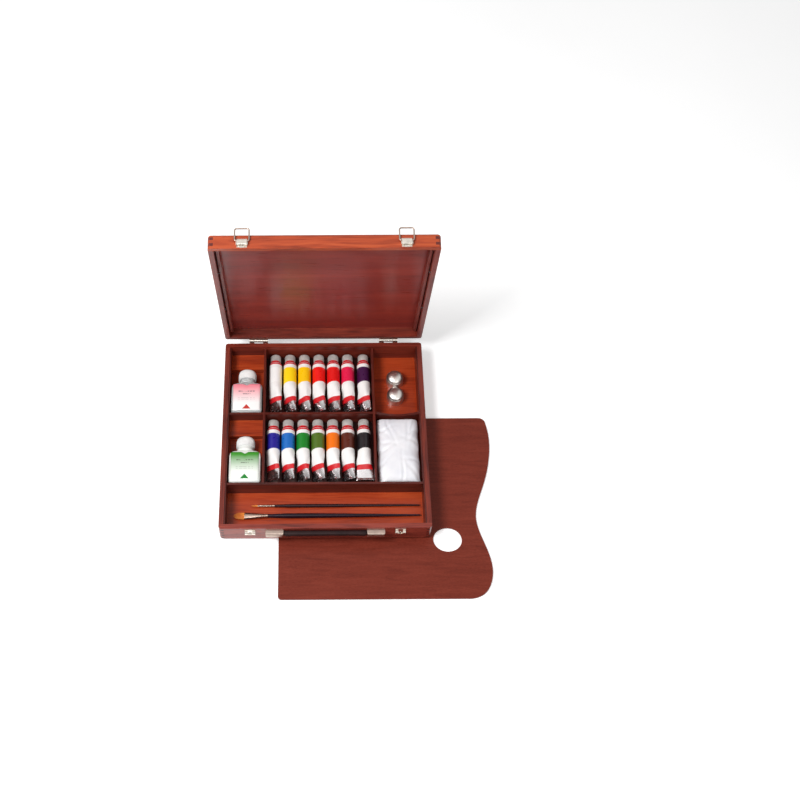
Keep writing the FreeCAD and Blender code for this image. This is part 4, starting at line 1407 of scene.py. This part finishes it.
# %% Pegs
PEG_X, PEG_Z = 0.1715, 0.0502  # the inner face of a side board, and the pegs' height when closed
PEG_REACH = (49.0 * MM, -94.0 * MM)
peg = [(0.0, 0.0), (0.0, 1.5), (2.4, 1.5), (3.0, 1.1), (3.2, 0.0)]
forms = []
for s in (-1, 1):
    for reach in PEG_REACH:
        forms.append(turned(peg, lid_point(s * PEG_X, reach, PEG_Z), (-s, 0, 0), 16))
pegs = mesh_piece("lid_pegs", merged(forms), peg_dark, "lid")
print("pegs:", len(forms))

# %% [markdown]
# ## Floor, light and camera
# A plain pale floor, a large soft lamp overhead and a weak one in front give the even light of a
# product picture. The camera stands where the photograph was taken from: about sixty degrees
# above the table, with a small sideways shift of the frame.

# %% Floor
FLOOR_HALF, FLOOR_Z = 4, -0.0002
corners = [(x * FLOOR_HALF, y * FLOOR_HALF, FLOOR_Z) for x, y in ((-1, -1), (1, -1), (1, 1), (-1, 1))]
floor_mesh = bpy.data.meshes.new("studio_floor")
floor_mesh.from_pydata(corners, [], [(0, 1, 2, 3)])
floor = plain_object("studio_floor", floor_mesh)
floor_finish = mottled(
    "floor_pale", paint(250, 250, 250), paint(247, 247, 247), cloud=3.0, smooth=0.7, dull=0.8
)
floor_mesh.materials.append(floor_finish)


def background_rays(tree):
    """Masks of the rays that show the background: straight or through glass, and by mirror."""
    path = node(tree, "ShaderNodeLightPath").outputs
    shown = calc(tree, "MAXIMUM", path["Is Camera Ray"], path["Is Transmission Ray"])
    return shown, path["Is Glossy Ray"]


floor_tree = floor_finish.node_tree
floor_shader = floor_tree.nodes["Principled BSDF"]
floor_shader.inputs["Emission Color"].default_value = (1, 1, 1, 1)
shown = calc(floor_tree, "MAXIMUM", *background_rays(floor_tree))
floor_tree.links.new(calc(floor_tree, "MULTIPLY", shown, 0.35), floor_shader.inputs["Emission Strength"])
print("floor:", floor.name)


# %% World and lamps
def studio_world():
    """White behind everything; for light and reflections, bright above and grey at the sides."""
    world = bpy.data.worlds.new("studio")
    world.use_nodes = True
    tree = world.node_tree
    sky = node(tree, "ShaderNodeTexCoord").outputs["Generated"]
    up = node(tree, "ShaderNodeSeparateXYZ", {0: sky}).outputs[2]
    level = spread(tree, up, 0.1, 0.95, 0.1, 0.46)
    mirrored = spread(tree, up, 0.0, 0.8, 0.15, 1.0)
    shown, by_mirror = background_rays(tree)
    amount = node(tree, "ShaderNodeMix", {0: by_mirror, 2: level, 3: mirrored}).outputs[0]
    amount = node(tree, "ShaderNodeMix", {0: shown, 2: amount, 3: 1.0}).outputs[0]
    tree.links.new(amount, tree.nodes["Background"].inputs["Strength"])
    tree.nodes["Background"].inputs["Color"].default_value = (1, 1, 1, 1)
    bpy.context.scene.world = world


studio_world()


def soft_lamp(name, place, aim, size, watts):
    lamp = bpy.data.lights.new(name, "AREA")
    lamp.size = size
    lamp.energy = watts
    made = plain_object(name, lamp)
    made.location = place
    made.rotation_euler = (Vector(aim) - Vector(place)).to_track_quat("-Z", "Y").to_euler()


soft_lamp("key", (-0.95, -0.55, 1.9), aim=(0.05, 0, 0), size=0.7, watts=39)
soft_lamp("front_fill", (0.9, -1.6, 1.3), aim=(0, 0, 0.1), size=1.2, watts=9)

print("lamps:", len(bpy.data.lights))

# %% Camera
FRAME_PIXELS, FOCAL_PIXELS, AXIS_PIXEL = 800, 1148.53, 320.197  # fitted to the photograph's corners
SENSOR = 36.0
CAMERA_PLACE = Vector((-0.01386, -0.9646, 1.82673))
pitch, yaw = math.radians(59.964), math.radians(-0.388)
camera = plain_object("photo_camera", bpy.data.cameras.new("photo_camera"))
camera.data.sensor_width = SENSOR
camera.data.lens = FOCAL_PIXELS * SENSOR / FRAME_PIXELS
camera.data.shift_x = (FRAME_PIXELS / 2 - AXIS_PIXEL) / FRAME_PIXELS
right = Vector((math.cos(yaw), math.sin(yaw), 0))
ahead = Vector((-math.sin(yaw), math.cos(yaw), 0))
look = ahead * math.cos(pitch) - Vector((0, 0, math.sin(pitch)))
above = ahead * math.sin(pitch) + Vector((0, 0, math.cos(pitch)))
placed = Matrix((right, above, -look)).transposed().to_4x4()
placed.translation = CAMERA_PLACE
camera.matrix_world = placed
bpy.context.scene.camera = camera
bpy.context.scene.view_settings.view_transform = "Standard"
print("camera at", tuple(round(c, 3) for c in camera.location))
